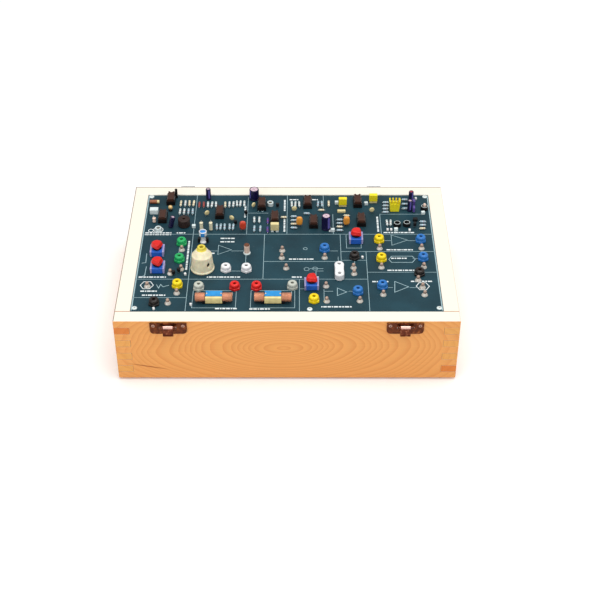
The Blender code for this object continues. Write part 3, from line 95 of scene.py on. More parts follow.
def copied(shape, places, turns=0.0):
    # a copy at each place, turned about Z by its angle first: x cos - y sin, x sin + y cos
    points, corners, counts, finishes = shape
    places = np.atleast_2d(np.asarray(places, float))
    angles = np.broadcast_to(turns, len(places))[:, None]
    x, y, z = points.T
    copies = np.stack([np.cos(angles) * x - np.sin(angles) * y,
                       np.sin(angles) * x + np.cos(angles) * y,
                       np.broadcast_to(z, (len(places), len(z)))], -1) + places[:, None]
    shift = np.repeat(np.arange(len(places)) * len(points), len(corners))
    return (copies.reshape(-1, 3), np.tile(corners, len(places)) + shift,
            np.tile(counts, len(places)), np.tile(finishes, len(places)))


def placed(shape, places, turns=0.0):
    # a shape in millimetres, as the sizes beside each piece are, copied to places in metres
    return copied(scaled(shape, mm), places, turns)


def leaned(shape, angle):
    # turned about Y: x cos + z sin, z cos - x sin
    points, *rest = shape
    x, y, z = points.T
    leaning = np.stack([math.cos(angle) * x + math.sin(angle) * z, y,
                        math.cos(angle) * z - math.sin(angle) * x], -1)
    return (leaning, *rest)


def turned(profile, sides=48, finish=0, axis="Z", closed=False):
    # radius and height pairs turned about an axis: r cos a, r sin a, height
    profile = np.asarray(profile, float)
    angle = (np.arange(sides) + 0.5) * fullTurn / sides
    radius = profile[:, :1]
    height = np.broadcast_to(profile[:, 1:], (len(profile), sides))
    grid = np.stack([radius * np.cos(angle), radius * np.sin(angle), height], -1)
    return gridShape(np.roll(grid, {"Z": 0, "X": 1, "Y": 2}[axis], -1), finish, closed)


def softened(points, radius, steps=4, closed=False):
    # each corner swapped for a quadratic curve that starts and ends the radius away from it,
    # or 45 in 100 of its shorter side: (1-t)(1-t) start + 2t(1-t) corner + t t end
    points = np.asarray(points, float)
    corner = points if closed else points[1:-1]
    before = (np.roll(points, 1, 0) if closed else points[:-2]) - corner
    after = (np.roll(points, -1, 0) if closed else points[2:]) - corner
    lengths = np.linalg.norm([before, after], axis=2)
    reach = np.minimum(radius, 0.45 * lengths.min(0))
    start = corner + before * (reach / lengths[0])[:, None]
    end = corner + after * (reach / lengths[1])[:, None]
    t = np.linspace(0, 1, steps + 1)[None, :, None]
    curve = (1 - t) ** 2 * start[:, None] + 2 * t * (1 - t) * corner[:, None] + t ** 2 * end[:, None]
    curve = curve.reshape(-1, 2)
    return curve if closed else np.concatenate([points[:1], curve, points[-1:]])


def spun(profile, ease, sides=40, finish=0, axis="Z", steps=4):
    # radius and height pairs with softened corners, turned about an axis
    return turned(softened(profile, ease, steps), sides, finish, axis)


def onCircle(angles):
    # flat places one away from the middle: cos a, sin a
    return np.stack([np.cos(angles), np.sin(angles)], -1)


def stacked(rows, finish=0):
    # outlines laid flat at their heights, one row of points each, and joined by faces
    return gridShape(np.stack([np.insert(outline, 2, height, 1) for outline, height in rows]), finish)


def roundedOutline(width, depth, corner, steps=5):
    # four quarter circles about the corners' centres, anticlockwise
    turn = np.arange(4)[:, None] * math.pi / 2 + np.linspace(0, math.pi / 2, steps + 1)
    side = np.array([[1, 1], [-1, 1], [-1, -1], [1, -1]])[:, None]
    centre = side * np.array([width / 2 - corner, depth / 2 - corner])
    return (centre + corner * onCircle(turn)).reshape(-1, 2)


def easedEnds(low, high, ease, steps=3):
    # inset and height pairs: a quarter circle at each end, inset e(1 - sin a), rise e(1 - cos a)
    a = np.linspace(0, math.pi / 2, steps + 1)
    inset = ease * (1 - np.sin(a))
    rise = ease * (1 - np.cos(a))
    return np.concatenate([np.stack([inset, low + rise], -1), np.stack([inset, high - rise], -1)[::-1]])


def carried(outline, profile, finish=0, plane="XY"):
    # an anticlockwise outline carried along inset and height pairs: each point moves inwards
    # along the mitre of its two sides, the sum m of their normals times 2 inset / m.m
    outline = np.asarray(outline, float)
    side = np.roll(outline, -1, 0) - outline
    normal = np.stack([side[:, 1], -side[:, 0]], -1) / np.linalg.norm(side, axis=1)[:, None]
    mitre = normal + np.roll(normal, 1, 0)
    mitre *= 2 / (mitre ** 2).sum(1, keepdims=True)
    inset, height = np.asarray(profile, float).T[:, :, None, None]
    flat = outline - mitre * inset
    grid = np.concatenate([flat, np.broadcast_to(height, (len(flat), len(outline), 1))], -1)
    order = {"XY": (0, 1, 2), "XZ": (0, 2, 1), "YZ": (2, 0, 1)}[plane]
    return gridShape(grid[..., order], finish)


def easedBlock(low, high, ease, finish=0, steps=2):
    # a block between two opposite corners, in either order, with every edge rounded
    low, high = np.sort(np.array([low, high], float), axis=0)
    width, depth, height = high - low
    outline = roundedOutline(width, depth, ease, steps) + (low + high)[:2] / 2
    return carried(outline, easedEnds(low[2], high[2], min(ease, height / 2), steps), finish)


def pipe(path, radius, sideways, sides=8, finish=0):
    # a round wire: at each point a circle of sideways cos a + (direction x sideways) sin a
    path = np.asarray(path, float)
    direction = np.gradient(path, axis=0)
    direction /= np.linalg.norm(direction, axis=1)[:, None]
    upwards = np.cross(direction, sideways)[:, None]
    angle = (np.arange(sides) * fullTurn / sides)[:, None]
    rings = np.cos(angle) * np.asarray(sideways, float) + np.sin(angle) * upwards
    return gridShape(path[:, None] + radius * rings, finish)


def bulged(size, belly, steps=18, finish=0):
    # a pillow-like body: sines and cosines of the two angles raised to the power belly
    def shaped(value):
        return np.sign(value) * np.abs(value) ** belly
    rise = np.linspace(-0.97, 0.97, steps)[:, None] * math.pi / 2
    turn = np.arange(2 * steps)[None] * math.pi / steps
    grid = np.stack([shaped(np.cos(rise)) * shaped(np.cos(turn)),
                     shaped(np.cos(rise)) * shaped(np.sin(turn)),
                     np.broadcast_to(shaped(np.sin(rise)), (steps, 2 * steps))], -1)
    return gridShape(grid * np.asarray(size) / 2, finish)


def printedLine(points, width, low, high, closed=False, finish=0):
    # a flat strip along a path: both edges half a width off it along the mitre
    points = np.asarray(points, float)
    side = (np.roll(points, -1, 0) - points) if closed else np.diff(points, axis=0)
    normal = np.stack([side[:, 1], -side[:, 0]], -1) / np.linalg.norm(side, axis=1)[:, None]
    before = np.roll(normal, 1, 0) if closed else np.concatenate([normal[:1], normal])
    after = normal if closed else np.concatenate([normal, normal[-1:]])
    mitre = (before + after) * 2 / ((before + after) ** 2).sum(1, keepdims=True)
    left = points - mitre * width / 2
    right = points + mitre * width / 2
    corner = [np.insert(edge, 2, height, 1) for edge, height in
              ((left, low), (right, low), (right, high), (left, high))]
    return gridShape(np.stack(corner, 1), finish, closed)


def makePiece(name, shape, coats, body="case", instead=(), sharpAngle=40):
    # puts the arrays into a mesh, turns its faces outwards, gives it its finishes by name, and
    # hangs the piece on its body
    points, corners, counts, tints = shape
    mesh = bpy.data.meshes.new(name)
    mesh.vertices.add(len(points))
    mesh.loops.add(len(corners))
    mesh.polygons.add(len(counts))
    mesh.vertices.foreach_set("co", points.astype(np.float32).ravel())
    mesh.loops.foreach_set("vertex_index", corners.astype(np.int32))
    mesh.polygons.foreach_set("loop_start", (np.cumsum(counts) - counts).astype(np.int32))
    mesh.polygons.foreach_set("material_index", tints.astype(np.int32))
    mesh.polygons.foreach_set("use_smooth", counts <= 4)
    mesh.update(calc_edges=True)
    work = bmesh.new()
    work.from_mesh(mesh)
    bmesh.ops.recalc_face_normals(work, faces=work.faces)
    work.to_mesh(mesh)
    work.free()
    mesh.set_sharp_from_angle(angle=math.radians(sharpAngle))
    for coat in coats:
        mesh.materials.append(finishes[coat])
    piece = bpy.data.objects.new(name, mesh)
    bpy.context.scene.collection.objects.link(piece)
    shading = piece.modifiers.new("even shading", "WEIGHTED_NORMAL")
    shading.keep_sharp = True
    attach(piece, body)
    if instead:
        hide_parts(*instead)
    return piece


# Finishes

def linearColour(code, light=1.0):
    # sRGB hex to linear by the sRGB curve, made lighter or darker by a factor
    value = np.array([int(code[i:i + 2], 16) for i in (1, 3, 5)]) / 255
    linear = np.where(value <= 0.04045, value / 12.92, ((value + 0.055) / 1.055) ** 2.4)
    return (*np.clip(linear * light, 0, 1).tolist(), 1.0)


def setInputs(node, inputs):
    # each input is a value, a colour's code, another node's output to link, or a node for its
    # first output
    for key, value in inputs.items():
        if isinstance(value, bpy.types.Node):
            value = value.outputs[0]
        if isinstance(value, bpy.types.NodeSocket):
            node.id_data.links.new(value, node.inputs[key])
        else:
            node.inputs[key].default_value = linearColour(value) if isinstance(value, str) else value


def addNode(tree, kind, inputs=None, stops=None, **settings):
    # one node with its settings, its inputs and the stops of its colour ramp, each a place, a
    # colour's code and how light it is made
    node = tree.nodes.new("ShaderNode" + kind)
    for key, value in settings.items():
        setattr(node, key, value)
    setInputs(node, inputs or {})
    for number, (place, *tone) in enumerate(stops or []):
        ramp = node.color_ramp.elements
        stop = ramp[number] if number < 2 else ramp.new(place)
        stop.position = place
        stop.color = linearColour(*tone)
    return node


def startFinish(name, gloss=0.5, **sockets):
    # a material with its Principled shader and the function that adds its nodes; coatWeight sets
    # Coat Weight, and so on
    finish = bpy.data.materials.new(name)
    finish.use_nodes = True
    tree = finish.node_tree
    tree.nodes.clear()
    add = functools.partial(addNode, tree)
    shader = add("BsdfPrincipled")
    shader.inputs["Specular IOR Level"].default_value = gloss
    for key, value in sockets.items():
        shader.inputs[re.sub("([A-Z])", r" \1", key).title()].default_value = value
    add("OutputMaterial", {"Surface": shader.outputs["BSDF"]})
    place = add("TexCoord").outputs["Object"]
    return finish, add, shader, place


def mouldedPlastic(name, code, roughness=0.35, cloud=6 * mm, grain=0.35 * mm, relief=0.25,
                   clouding=0.12, **more):
    # ABS or phenolic from a polished mould: even colour with faint clouds where handling has
    # dulled it, and a fine pimple that keeps the highlight from being a mirror's
    finish, add, shader, place = startFinish(name, **more)
    clouds = add("TexNoise", {"Vector": place, "Scale": 1 / cloud, "Detail": 4.0})
    colour = add("ValToRGB", {"Fac": clouds}, [(0.30, code, 1 - clouding), (0.68, code, 1 + clouding)])
    dull = add("MapRange", {"Value": clouds, "From Min": 0.35, "From Max": 0.7,
                            "To Min": roughness * 0.8, "To Max": roughness * 1.3})
    pimples = add("TexNoise", {"Vector": place, "Scale": 1 / grain, "Detail": 2.0})
    bump = add("Bump", {"Height": pimples, "Strength": relief, "Distance": 0.03 * mm})
    setInputs(shader, {"Base Color": colour, "Roughness": dull, "Normal": bump})
    return finish


def platedMetal(name, code, roughness=0.28, scratch=0.5 * mm, **more):
    # nickel, zinc or brass over a turned or pressed part: bright, with fine scratches that
    # stretch the highlight and patches where the plating has gone dull
    finish, add, shader, place = startFinish(name, metallic=1.0, **more)
    patches = add("TexNoise", {"Vector": place, "Scale": 1 / (5 * mm), "Detail": 5.0})
    colour = add("ValToRGB", {"Fac": patches}, [(0.3, code, 0.78), (0.6, code)])
    dull = add("MapRange", {"Value": patches, "From Min": 0.3, "From Max": 0.7,
                            "To Min": roughness * 0.7, "To Max": roughness * 1.6})
    stretched = add("Mapping", {"Vector": place, "Scale": (1.0, 0.08, 1.0)})
    lines = add("TexNoise", {"Vector": stretched, "Scale": 1 / scratch, "Detail": 3.0})
    bump = add("Bump", {"Height": lines, "Strength": 0.3, "Distance": 0.01 * mm})
    setInputs(shader, {"Base Color": colour, "Roughness": dull, "Normal": bump})
    return finish


pine = {
    # rim is the near white painted on upward faces as light that washes the tops out; inner faces take it
    # too
    "early": "#E8A053", "late": "#DE9147", "end": "#E2A04E", "endLate": "#D99445", "rim": "#FAF7EB",
    "endStain": "#F3C48C", "endMiddle": 0.051, "stained": -0.0045, "unstained": -0.0035,
    "resin": "#B58E52", "resinPlace": (-0.172, -0.144, 0.0222), "resinTurn": 0.196,
    "resinReach": (0.030, 0.010, 1.3 * mm),
    "drift": 38 * mm, "wave": 11 * mm, "fibre": 1.1 * mm, "grain": 0.55, "inwards": -0.001,
    # edge is the colour of the painted shade line along the left and back top edges
    "edge": "#7A6C62", "ring": 3.5 * mm, "heart": 0.052, "offset": 0.004, "lean": 0.38, "crown": -0.125,
    "yearly": 0.9, "uneven": 0.5,
    "leftEdge": -0.2093, "backEdge": 0.1433, "edgeWidth": 0.6 * mm,
}


def planedPine(name, along, look=pine, seed=0.0):
    # flat-sawn pine, planed and clear varnished. Rings are the distance from a heart line that
    # leans through the board, so they show as long arches on the face and as arcs on end grain.
    # Pale spring wood darkens slowly to a narrow summer line, under a thin coat of varnish
    finish, add, shader, place = startFinish(name, 0.35, coatWeight=0.1, coatRoughness=0.3)
    turn = (0.0, 0.0, 0.0) if along == "X" else (0.0, 0.0, -math.pi / 2)
    board = add("Mapping", {"Vector": place, "Rotation": turn, "Location": (seed, 0.0, 0.0)})
    sway = add("Mapping", {"Vector": board, "Scale": (0.25, 1.0, 1.0)})
    drift = add("TexNoise", {"Vector": sway, "Scale": 1 / look["drift"], "Detail": 2.0,
                             "Roughness": 0.35})
    axes = add("SeparateXYZ", {"Vector": board})
    leaning = add("Math", {0: axes.outputs["X"], 1: look["crown"]}, operation="SUBTRACT")
    leaning = add("Math", {0: leaning, 1: look["lean"], 2: look["offset"]}, operation="MULTIPLY_ADD")
    fromHeart = add("Math", {0: axes.outputs["Z"], 1: look["heart"]}, operation="SUBTRACT")
    deep = add("Math", {0: axes.outputs["Y"], 1: 0.35, 2: leaning}, operation="MULTIPLY_ADD")
    across = add("CombineXYZ", {"X": fromHeart, "Y": deep})
    distance = add("VectorMath", {0: across}, operation="LENGTH")
    wavy = add("Math", {0: drift, 1: look["wave"], 2: distance.outputs["Value"]},
               operation="MULTIPLY_ADD")
    count = add("Math", {0: wavy, 1: look["ring"]}, operation="DIVIDE")
    # good and bad years: the count plus uneven times the sine of yearly times the count
    years = add("Math", {0: count, 1: look["yearly"]}, operation="MULTIPLY")
    years = add("Math", {0: years}, operation="SINE")
    years = add("Math", {0: years, 1: look["uneven"], 2: count}, operation="MULTIPLY_ADD")
    ring = add("Math", {0: years}, operation="FRACT")
    face = add("ValToRGB", {"Fac": ring}, [
        (0.0, look["early"]), (1.0, look["early"], 0.98),
        (0.50, look["early"], 0.95), (0.86, look["late"]),
        (0.93, look["late"], 0.96), (0.97, look["early"], 0.97)])
    endWood = add("ValToRGB", {"Fac": ring}, [
        (0.0, look["end"]), (1.0, look["end"]),
        (0.6, look["end"], 0.95), (0.88, look["endLate"])])
    # the fingers at the top left and the bottom right are heartwood and so darker: x times the
    # height over the middle is most negative there
    spot = add("SeparateXYZ", {"Vector": place})
    above = add("Math", {0: spot.outputs["Z"], 1: look["endMiddle"]}, operation="SUBTRACT")
    sideways = add("Math", {0: above, 1: spot.outputs["X"]}, operation="MULTIPLY")
    heartwood = add("MapRange", {"Value": sideways, "From Min": look["stained"],
                                 "From Max": look["unstained"], "To Min": 1.0, "To Max": 0.0})
    endWood = add("MixRGB", {"Fac": heartwood, "Color1": endWood, "Color2": look["endStain"]},
                  blend_type="MULTIPLY")
    fibreMap = add("Mapping", {"Vector": board, "Scale": (0.03, 1.0, 1.0)})
    fibre = add("TexNoise", {"Vector": fibreMap, "Scale": 1 / look["fibre"], "Detail": 5.0,
                             "Roughness": 0.65})
    streak = add("ValToRGB", {"Fac": fibre}, [(0.30, "#FFFFFF", 0.88), (0.62, "#FFFFFF")])
    grained = add("MixRGB", {"Fac": look["grain"], "Color1": face, "Color2": streak},
                  blend_type="MULTIPLY")
    # a resin streak low on the front wall: an ellipsoid's distance, dark inside and clear outside
    streakMap = add("Mapping", {"Vector": place, "Location": look["resinPlace"],
                                "Rotation": (0.0, look["resinTurn"], 0.0),
                                "Scale": look["resinReach"]}, vector_type="TEXTURE")
    fromStreak = add("VectorMath", {0: streakMap}, operation="LENGTH")
    resin = add("MapRange", {"Value": fromStreak.outputs["Value"], "From Min": 0.3,
                             "From Max": 1.0, "To Min": 1.0, "To Max": 0.0})
    grained = add("MixRGB", {"Fac": resin, "Color1": grained, "Color2": look["resin"]},
                  blend_type="MULTIPLY")
    normal = add("SeparateXYZ", {"Vector": place.node.outputs["Normal"]})
    facing = add("Math", {0: normal.outputs[along]}, operation="ABSOLUTE")
    isEnd = add("Math", {0: facing, 1: 0.7}, operation="GREATER_THAN")
    wood = add("MixRGB", {"Fac": isEnd, "Color1": grained, "Color2": endWood})
    # upward faces are blended towards that near white by their normal's Z: painted light on the tops
    rim = add("MapRange", {"Value": normal.outputs["Z"], "From Min": 0.6, "From Max": 0.95,
                           "To Min": 0.0, "To Max": 0.88})
    # inner faces look towards the middle of the case: place times normal, summed over x and y, is
    # below nothing there, and they take the same near white that is painted light on the tops
    outwards = add("VectorMath", {0: place, 1: place.node.outputs["Normal"]}, operation="MULTIPLY")
    outwards = add("SeparateXYZ", {"Vector": outwards})
    outwards = add("Math", {0: outwards.outputs["X"], 1: outwards.outputs["Y"]}, operation="ADD")
    inner = add("Math", {0: outwards, 1: look["inwards"]}, operation="LESS_THAN")
    pale = add("Math", {0: inner, 1: rim}, operation="MAXIMUM")
    paler = add("MixRGB", {"Fac": pale, "Color1": wood, "Color2": look["rim"]})
    # a thin grey-brown line along the left and back top edges: painted shade at the arris
    left = add("Math", {0: spot.outputs["X"], 1: look["leftEdge"], 2: look["edgeWidth"]},
               operation="COMPARE")
    back = add("Math", {0: spot.outputs["Y"], 1: look["backEdge"], 2: look["edgeWidth"]},
               operation="COMPARE")
    either = add("Math", {0: left, 1: back}, operation="MAXIMUM")
    paintedEdgeShade = add("Math", {0: either, 1: rim}, operation="MULTIPLY")
    withEdgeShade = add("MixRGB", {"Fac": paintedEdgeShade, "Color1": paler, "Color2": look["edge"]})
    rough = add("MapRange", {"Value": fibre, "To Min": 0.55, "To Max": 0.36})
    height = add("Math", {0: ring, 1: 0.5, 2: fibre}, operation="MULTIPLY_ADD")
    bump = add("Bump", {"Height": height, "Strength": 0.35, "Distance": 0.08 * mm})
    setInputs(shader, {"Base Color": withEdgeShade, "Roughness": rough, "Normal": bump})
    return finish


def panelLacquer(name, code):
    # phenolic board sprayed deep teal: a satin coat with slow drifts in tone, orange peel, and
    # specks of dust that lie on it
    finish, add, shader, place = startFinish(name, 0.22, roughness=0.5)
    drift = add("TexNoise", {"Vector": place, "Scale": 1 / (45 * mm), "Detail": 4.0})
    colour = add("ValToRGB", {"Fac": drift}, [(0.34, code, 0.78), (0.66, code, 1.22)])
    dust = add("TexVoronoi", {"Vector": place, "Scale": 1 / (5.5 * mm)})
    speck = add("MapRange", {"Value": dust, "From Min": 0.05, "From Max": 0.075, "To Min": 0.12,
                             "To Max": 0.0})
    dusty = add("MixRGB", {"Fac": speck, "Color1": colour, "Color2": "#C9CCC4"})
    peel = add("TexNoise", {"Vector": place, "Scale": 1 / (1.6 * mm), "Detail": 2.0})
    bump = add("Bump", {"Height": peel, "Strength": 0.2, "Distance": 0.05 * mm})
    setInputs(shader, {"Base Color": dusty, "Normal": bump})
    return finish


def screenInk(name, code):
    # silk-screened ink: chalky, a little thin where the mesh of the screen let less through
    finish, add, shader, place = startFinish(name, roughness=0.6)
    thin = add("TexNoise", {"Vector": place, "Scale": 1 / (0.9 * mm), "Detail": 3.0})
    colour = add("ValToRGB", {"Fac": thin}, [(0.32, code, 0.62), (0.52, code)])
    bump = add("Bump", {"Height": thin, "Strength": 0.3, "Distance": 0.02 * mm})
    setInputs(shader, {"Base Color": colour, "Normal": bump})
    return finish


def agedBronze(name, code, worn):
    # pressed steel, chemically browned and lacquered: dark, with coppery metal showing through
    # in worn patches, so its highlights turn pink
    finish, add, shader, place = startFinish(name, metallic=0.85, coatWeight=0.1, coatRoughness=0.3)
    wear = add("TexNoise", {"Vector": place, "Scale": 1 / (4.5 * mm), "Detail": 6.0, "Roughness": 0.6})
    colour = add("ValToRGB", {"Fac": wear}, [(0.42, code), (0.72, worn), (0.56, code, 1.6)])
    rough = add("MapRange", {"Value": wear, "From Min": 0.35, "From Max": 0.7, "To Min": 0.5,
                             "To Max": 0.27})
    bump = add("Bump", {"Height": wear, "Strength": 0.3, "Distance": 0.06 * mm})
    setInputs(shader, {"Base Color": colour, "Roughness": rough, "Normal": bump})
    return finish


def laidWire(name, code, along, pitch, dark=0.45):
    # enamelled copper laid turn by turn: bright bands with a dark line painted between them as the
    # shade in the groove between turns, drawn coarser than the real wire so that they show
    finish, add, shader, place = startFinish(name, metallic=0.35, roughness=0.3, coatWeight=0.4,
                                              coatRoughness=0.15)
    band = add("TexWave", {"Vector": place, "Scale": 0.314 / pitch, "Distortion": 0.3,
                           "Detail": 1.0}, bands_direction=along)
    colour = add("ValToRGB", {"Fac": band.outputs["Fac"]}, [(0.05, code, dark), (0.55, code)])
    bump = add("Bump", {"Height": band.outputs["Fac"], "Strength": 0.7, "Distance": 0.12 * mm})
    setInputs(shader, {"Base Color": colour, "Normal": bump})
    return finish


def veneeredPly(name, code):
    # birch plywood: a pale rotary-cut face, and on its edges thin layers turned across each other
    finish, add, shader, place = startFinish(name)
    figureMap = add("Mapping", {"Vector": place, "Scale": (0.07, 1.0, 1.0)})
    figure = add("TexNoise", {"Vector": figureMap, "Scale": 1 / (7 * mm), "Detail": 6.0,
                              "Distortion": 0.6})
    face = add("ValToRGB", {"Fac": figure}, [(0.35, code, 0.80), (0.62, code, 1.05)])
    layer = add("TexWave", {"Vector": place, "Scale": 0.314 / (1.2 * mm)}, bands_direction="Z")
    edge = add("ValToRGB", {"Fac": layer.outputs["Fac"]}, [(0.45, code, 0.42), (0.55, code, 0.85)])
    normal = add("SeparateXYZ", {"Vector": place.node.outputs["Normal"]})
    upright = add("Math", {0: normal.outputs["Z"]}, operation="ABSOLUTE")
    flat = add("Math", {0: upright, 1: 0.6}, operation="GREATER_THAN")
    wood = add("MixRGB", {"Fac": flat, "Color1": edge, "Color2": face})
    rough = add("MapRange", {"Value": figure, "To Min": 0.75, "To Max": 0.6})
    bump = add("Bump", {"Height": figure, "Strength": 0.3, "Distance": 0.1 * mm})
    setInputs(shader, {"Base Color": wood, "Roughness": rough, "Normal": bump})
    return finish


finishes = {
    "pineX": planedPine("varnished pine, grain across", "X"),
    "pineY": planedPine("varnished pine, grain front to back", "Y", seed=0.013),
    "ply": veneeredPly("birch plywood", "#CFA972"),
    "rubber": mouldedPlastic("black rubber", "#1A1A1B", 0.75, grain=0.6 * mm, relief=0.6),
    "panel": panelLacquer("teal lacquered panel", "#1A3C47"),
    "ink": screenInk("pale screen ink", "#A6C3CA"),
    "labelInk": screenInk("white screen ink", "#EEF6F7"),
    "bronze": agedBronze("browned steel", "#50240C", "#965A2A"),
    "lever": agedBronze("browned steel lever, worn", "#54230F", "#B97C5A"),
    # the middle of the lever barrel is painted a pale pink highlight
    "barrelHighlight": platedMetal("lever barrel painted highlight", "#F2C6B8", 0.3),
    "latchScrew": platedMetal("browned screw", "#B89080", 0.35),
    "nickel": platedMetal("nickel plate", "#D8D6CE", 0.24),
    "zinc": platedMetal("bright zinc plate", "#C3C6CA", 0.3, 0.7 * mm),
    "brass": platedMetal("turned brass", "#C9A24E", 0.26),
    "darkBrass": platedMetal("tarnished brass sleeve", "#6E5526", 0.4),
    "tin": platedMetal("tinned legs and leads", "#C9CAC8", 0.34, 0.3 * mm),
    "pin": mouldedPlastic("dull silver pin", "#D8D2C8", 0.38, metallic=0.35),
    "pinTop": mouldedPlastic("brownish pin top", "#B79C8C", 0.36, metallic=0.3),
    "chip": mouldedPlastic("chip moulding", "#43271C", 0.48, grain=0.18 * mm, relief=0.5, gloss=0.3),
    "chipSocket": mouldedPlastic("chip socket moulding", "#160F0D", 0.42, gloss=0.25),
    "potBlue": mouldedPlastic("blue thermoset", "#2A63C6", 0.36, gloss=0.4),
    "potCover": mouldedPlastic("lilac cheek", "#A7A2CE", 0.32),
    "knobRed": mouldedPlastic("red knob moulding", "#DB1E17", 0.34, gloss=0.4),
    "white": mouldedPlastic("white moulding", "#EDEDEC", 0.34),
    "ivory": mouldedPlastic("ivory moulding", "#F3E9C6", 0.38, subsurfaceWeight=0.12,
                            subsurfaceScale=2 * mm),
    "neck": mouldedPlastic("yellowed ivory neck", "#E6D24A", 0.4),
    "lens": mouldedPlastic("blue lens", "#1C86D2", 0.08, relief=0.03, coatWeight=0.6,
                           coatRoughness=0.03),
    "canNavy": mouldedPlastic("navy shrink sleeve", "#150F3C", 0.30, gloss=0.4),
    "canStripe": mouldedPlastic("lilac sleeve stripe", "#5F58A8", 0.34),
    "canTop": mouldedPlastic("pink-grey can top", "#DFC3CF", 0.36),
    "redTop": mouldedPlastic("dull red can top", "#B8404A", 0.32),
    "boxYellow": mouldedPlastic("yellow epoxy box", "#FFE61C", 0.28),
    "boxBrown": mouldedPlastic("brown dipped body", "#9A5A34", 0.32),
    "boxCream": mouldedPlastic("cream dipped body", "#E4D49C", 0.36),
    "boxWhite": mouldedPlastic("white nylon block", "#DDE9E8", 0.4),
    "lilacBox": mouldedPlastic("lilac film capacitor", "#5B4796", 0.32),
    "dropOrange": mouldedPlastic("orange dipped body", "#EE9E38", 0.25, coatWeight=0.3,
                                 coatRoughness=0.08),
    "dropRed": mouldedPlastic("orange-red dipped body", "#D2452A", 0.25, coatWeight=0.3,
                              coatRoughness=0.08),
    "header": mouldedPlastic("yellow connector moulding", "#FFE722", 0.33),
    "sounder": mouldedPlastic("dark brown moulding", "#33241F", 0.42, gloss=0.3),
    "black": mouldedPlastic("black moulding", "#161416", 0.38, gloss=0.3),
    "wire": laidWire("enamelled winding", "#EBA37E", "X", 0.75 * mm),
    "tape": mouldedPlastic("light blue tape", "#2391D6", 0.35),
    "bobbin": mouldedPlastic("cream bobbin", "#EEDC9A", 0.38),
    "creamBody": mouldedPlastic("cream resistor body", "#EFE6C4", 0.34),
    "blueBody": mouldedPlastic("pale blue resistor body", "#B4CFDB", 0.34),
    "redBody": mouldedPlastic("dull red resistor body", "#9C4A44", 0.34),
    "pinkBody": mouldedPlastic("pinkish cream body", "#EFD2C0", 0.36),
    "bandBrown": mouldedPlastic("brown band", "#6A3A1E", 0.35),
    "bandRed": mouldedPlastic("red band", "#B5281E", 0.35),
    "bandBlack": mouldedPlastic("black band", "#201A18", 0.35),
    "bead": mouldedPlastic("amber bead", "#E5BE7A", 0.16, relief=0.05, coatWeight=0.6, coatRoughness=0.05),
    "core": platedMetal("transformer laminations", "#6E6C6A", 0.5, 0.35 * mm),
    "board": mouldedPlastic("green solder mask", "#1F6B3C", 0.35),
    "floor": mouldedPlastic("pale studio floor", "#FFFFFF", 0.8, cloud=180 * mm, grain=2 * mm,
                            relief=0.05, gloss=0.2, clouding=0.02,
                            emissionStrength=0.08),
}
socketCodes = {
    "yellow": "#FCD808", "blue": "#2B74BF", "red": "#E3221C", "grey": "#C2C6BA",
    "white": "#EDEDEE", "black": "#211916", "green": "#1FAD60",
}
for colour, code in socketCodes.items():
    finishes[colour + "Socket"] = mouldedPlastic(f"{colour} socket moulding", code, 0.28, gloss=0.45)
print("trainer: finishes ready")


# Where things are

panel = {
    "thickness": 1.6, "seatGap": 0.3, "ease": 0.35, "screwRadius": 3.3, "screwRise": 1.3, "screwTurn": 0.7,
    "screws": ((0.012, 0.030), (0.988, 0.030), (0.012, 0.985), (0.988, 0.985), (0.573, 0.022)),
}
panelLow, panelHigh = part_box("panel_board")
panelTop = panelLow.z + panel["thickness"] * mm
seat = panelTop + panel["seatGap"] * mm
panelSize = [panelHigh.x - panelLow.x, panelHigh.y - panelLow.y]


def onPanel(shares):
    # places on the panel from shares of its width from the left and of its depth from the front
    flat = np.array([panelLow.x, panelLow.y]) + np.atleast_2d(np.asarray(shares, float)) * panelSize
    return np.insert(flat, 2, panelTop, 1)


def seenAt(pixels, height=0.0):
    # places at a height in mm above the panel from the picture's pixels, of 600 by 600: the sight
    # line (u - 300, 300 - v, -focal) is tilted with the camera and followed down to that height
    pixels = np.atleast_2d(np.asarray(pixels, float))
    focal = view["lens"] / view["sensor"] * view["frame"]
    tilt = math.radians(view["tilt"])
    across = pixels[:, 0] - view["frame"] / 2
    upwards = view["frame"] / 2 - pixels[:, 1]
    eye = np.array(view["place"])
    depth = upwards * math.cos(tilt) + focal * math.sin(tilt)
    fall = upwards * math.sin(tilt) - focal * math.cos(tilt)
    reach = (panelTop + height * mm - eye[2]) / fall
    return np.stack([eye[0] + across * reach, eye[1] + depth * reach, np.full(len(reach), panelTop)], -1)


seenWindow = {"left": -190.5, "width": 381.0, "front": -123.55, "depth": 247.5, "rimHeight": 1.5,
              "eye": (16.0, -1318.8), "eyeHeight": 992.7}


def seenOnPanel(percents):
    # flat places from hundredths of the panel read in the picture, where its edges lie in the rim's
    # plane, in mm: each sight line is followed on from there to the panel, so a place moves away
    # from the camera's foot by its distance from that foot, times the rim's height over the eye's
    percents = np.atleast_2d(np.asarray(percents, float)) / 100
    seen = percents * [seenWindow["width"], seenWindow["depth"]] + [seenWindow["left"], seenWindow["front"]]
    drop = seenWindow["rimHeight"] / seenWindow["eyeHeight"]
    return (seen + drop * (seen - np.array(seenWindow["eye"]))) * mm


def middleOf(node):
    # the middle of a node's foot
    low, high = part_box(node)
    return np.array([(low.x + high.x) / 2, (low.y + high.y) / 2, low.z])


def onSeat(node):
    # the middle of a node's foot, on the panel
    return np.array([*middleOf(node)[:2], seat])


def backOf(node):
    # the middle of a node's back
    low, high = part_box(node)
    return np.array([(low.x + high.x) / 2, high.y, (low.z + high.z) / 2])


# Case

for node, coat in {
    "front_wall": "pineX", "back_wall": "pineX", "left_wall": "pineY", "right_wall": "pineY",
    "panel_ledge_left": "pineY", "panel_ledge_right": "pineY", "base_board": "ply",
    "mains_transformer": "core", "supply_board": "board",
}.items():
    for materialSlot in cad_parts[node].material_slots:
        materialSlot.material = finishes[coat]

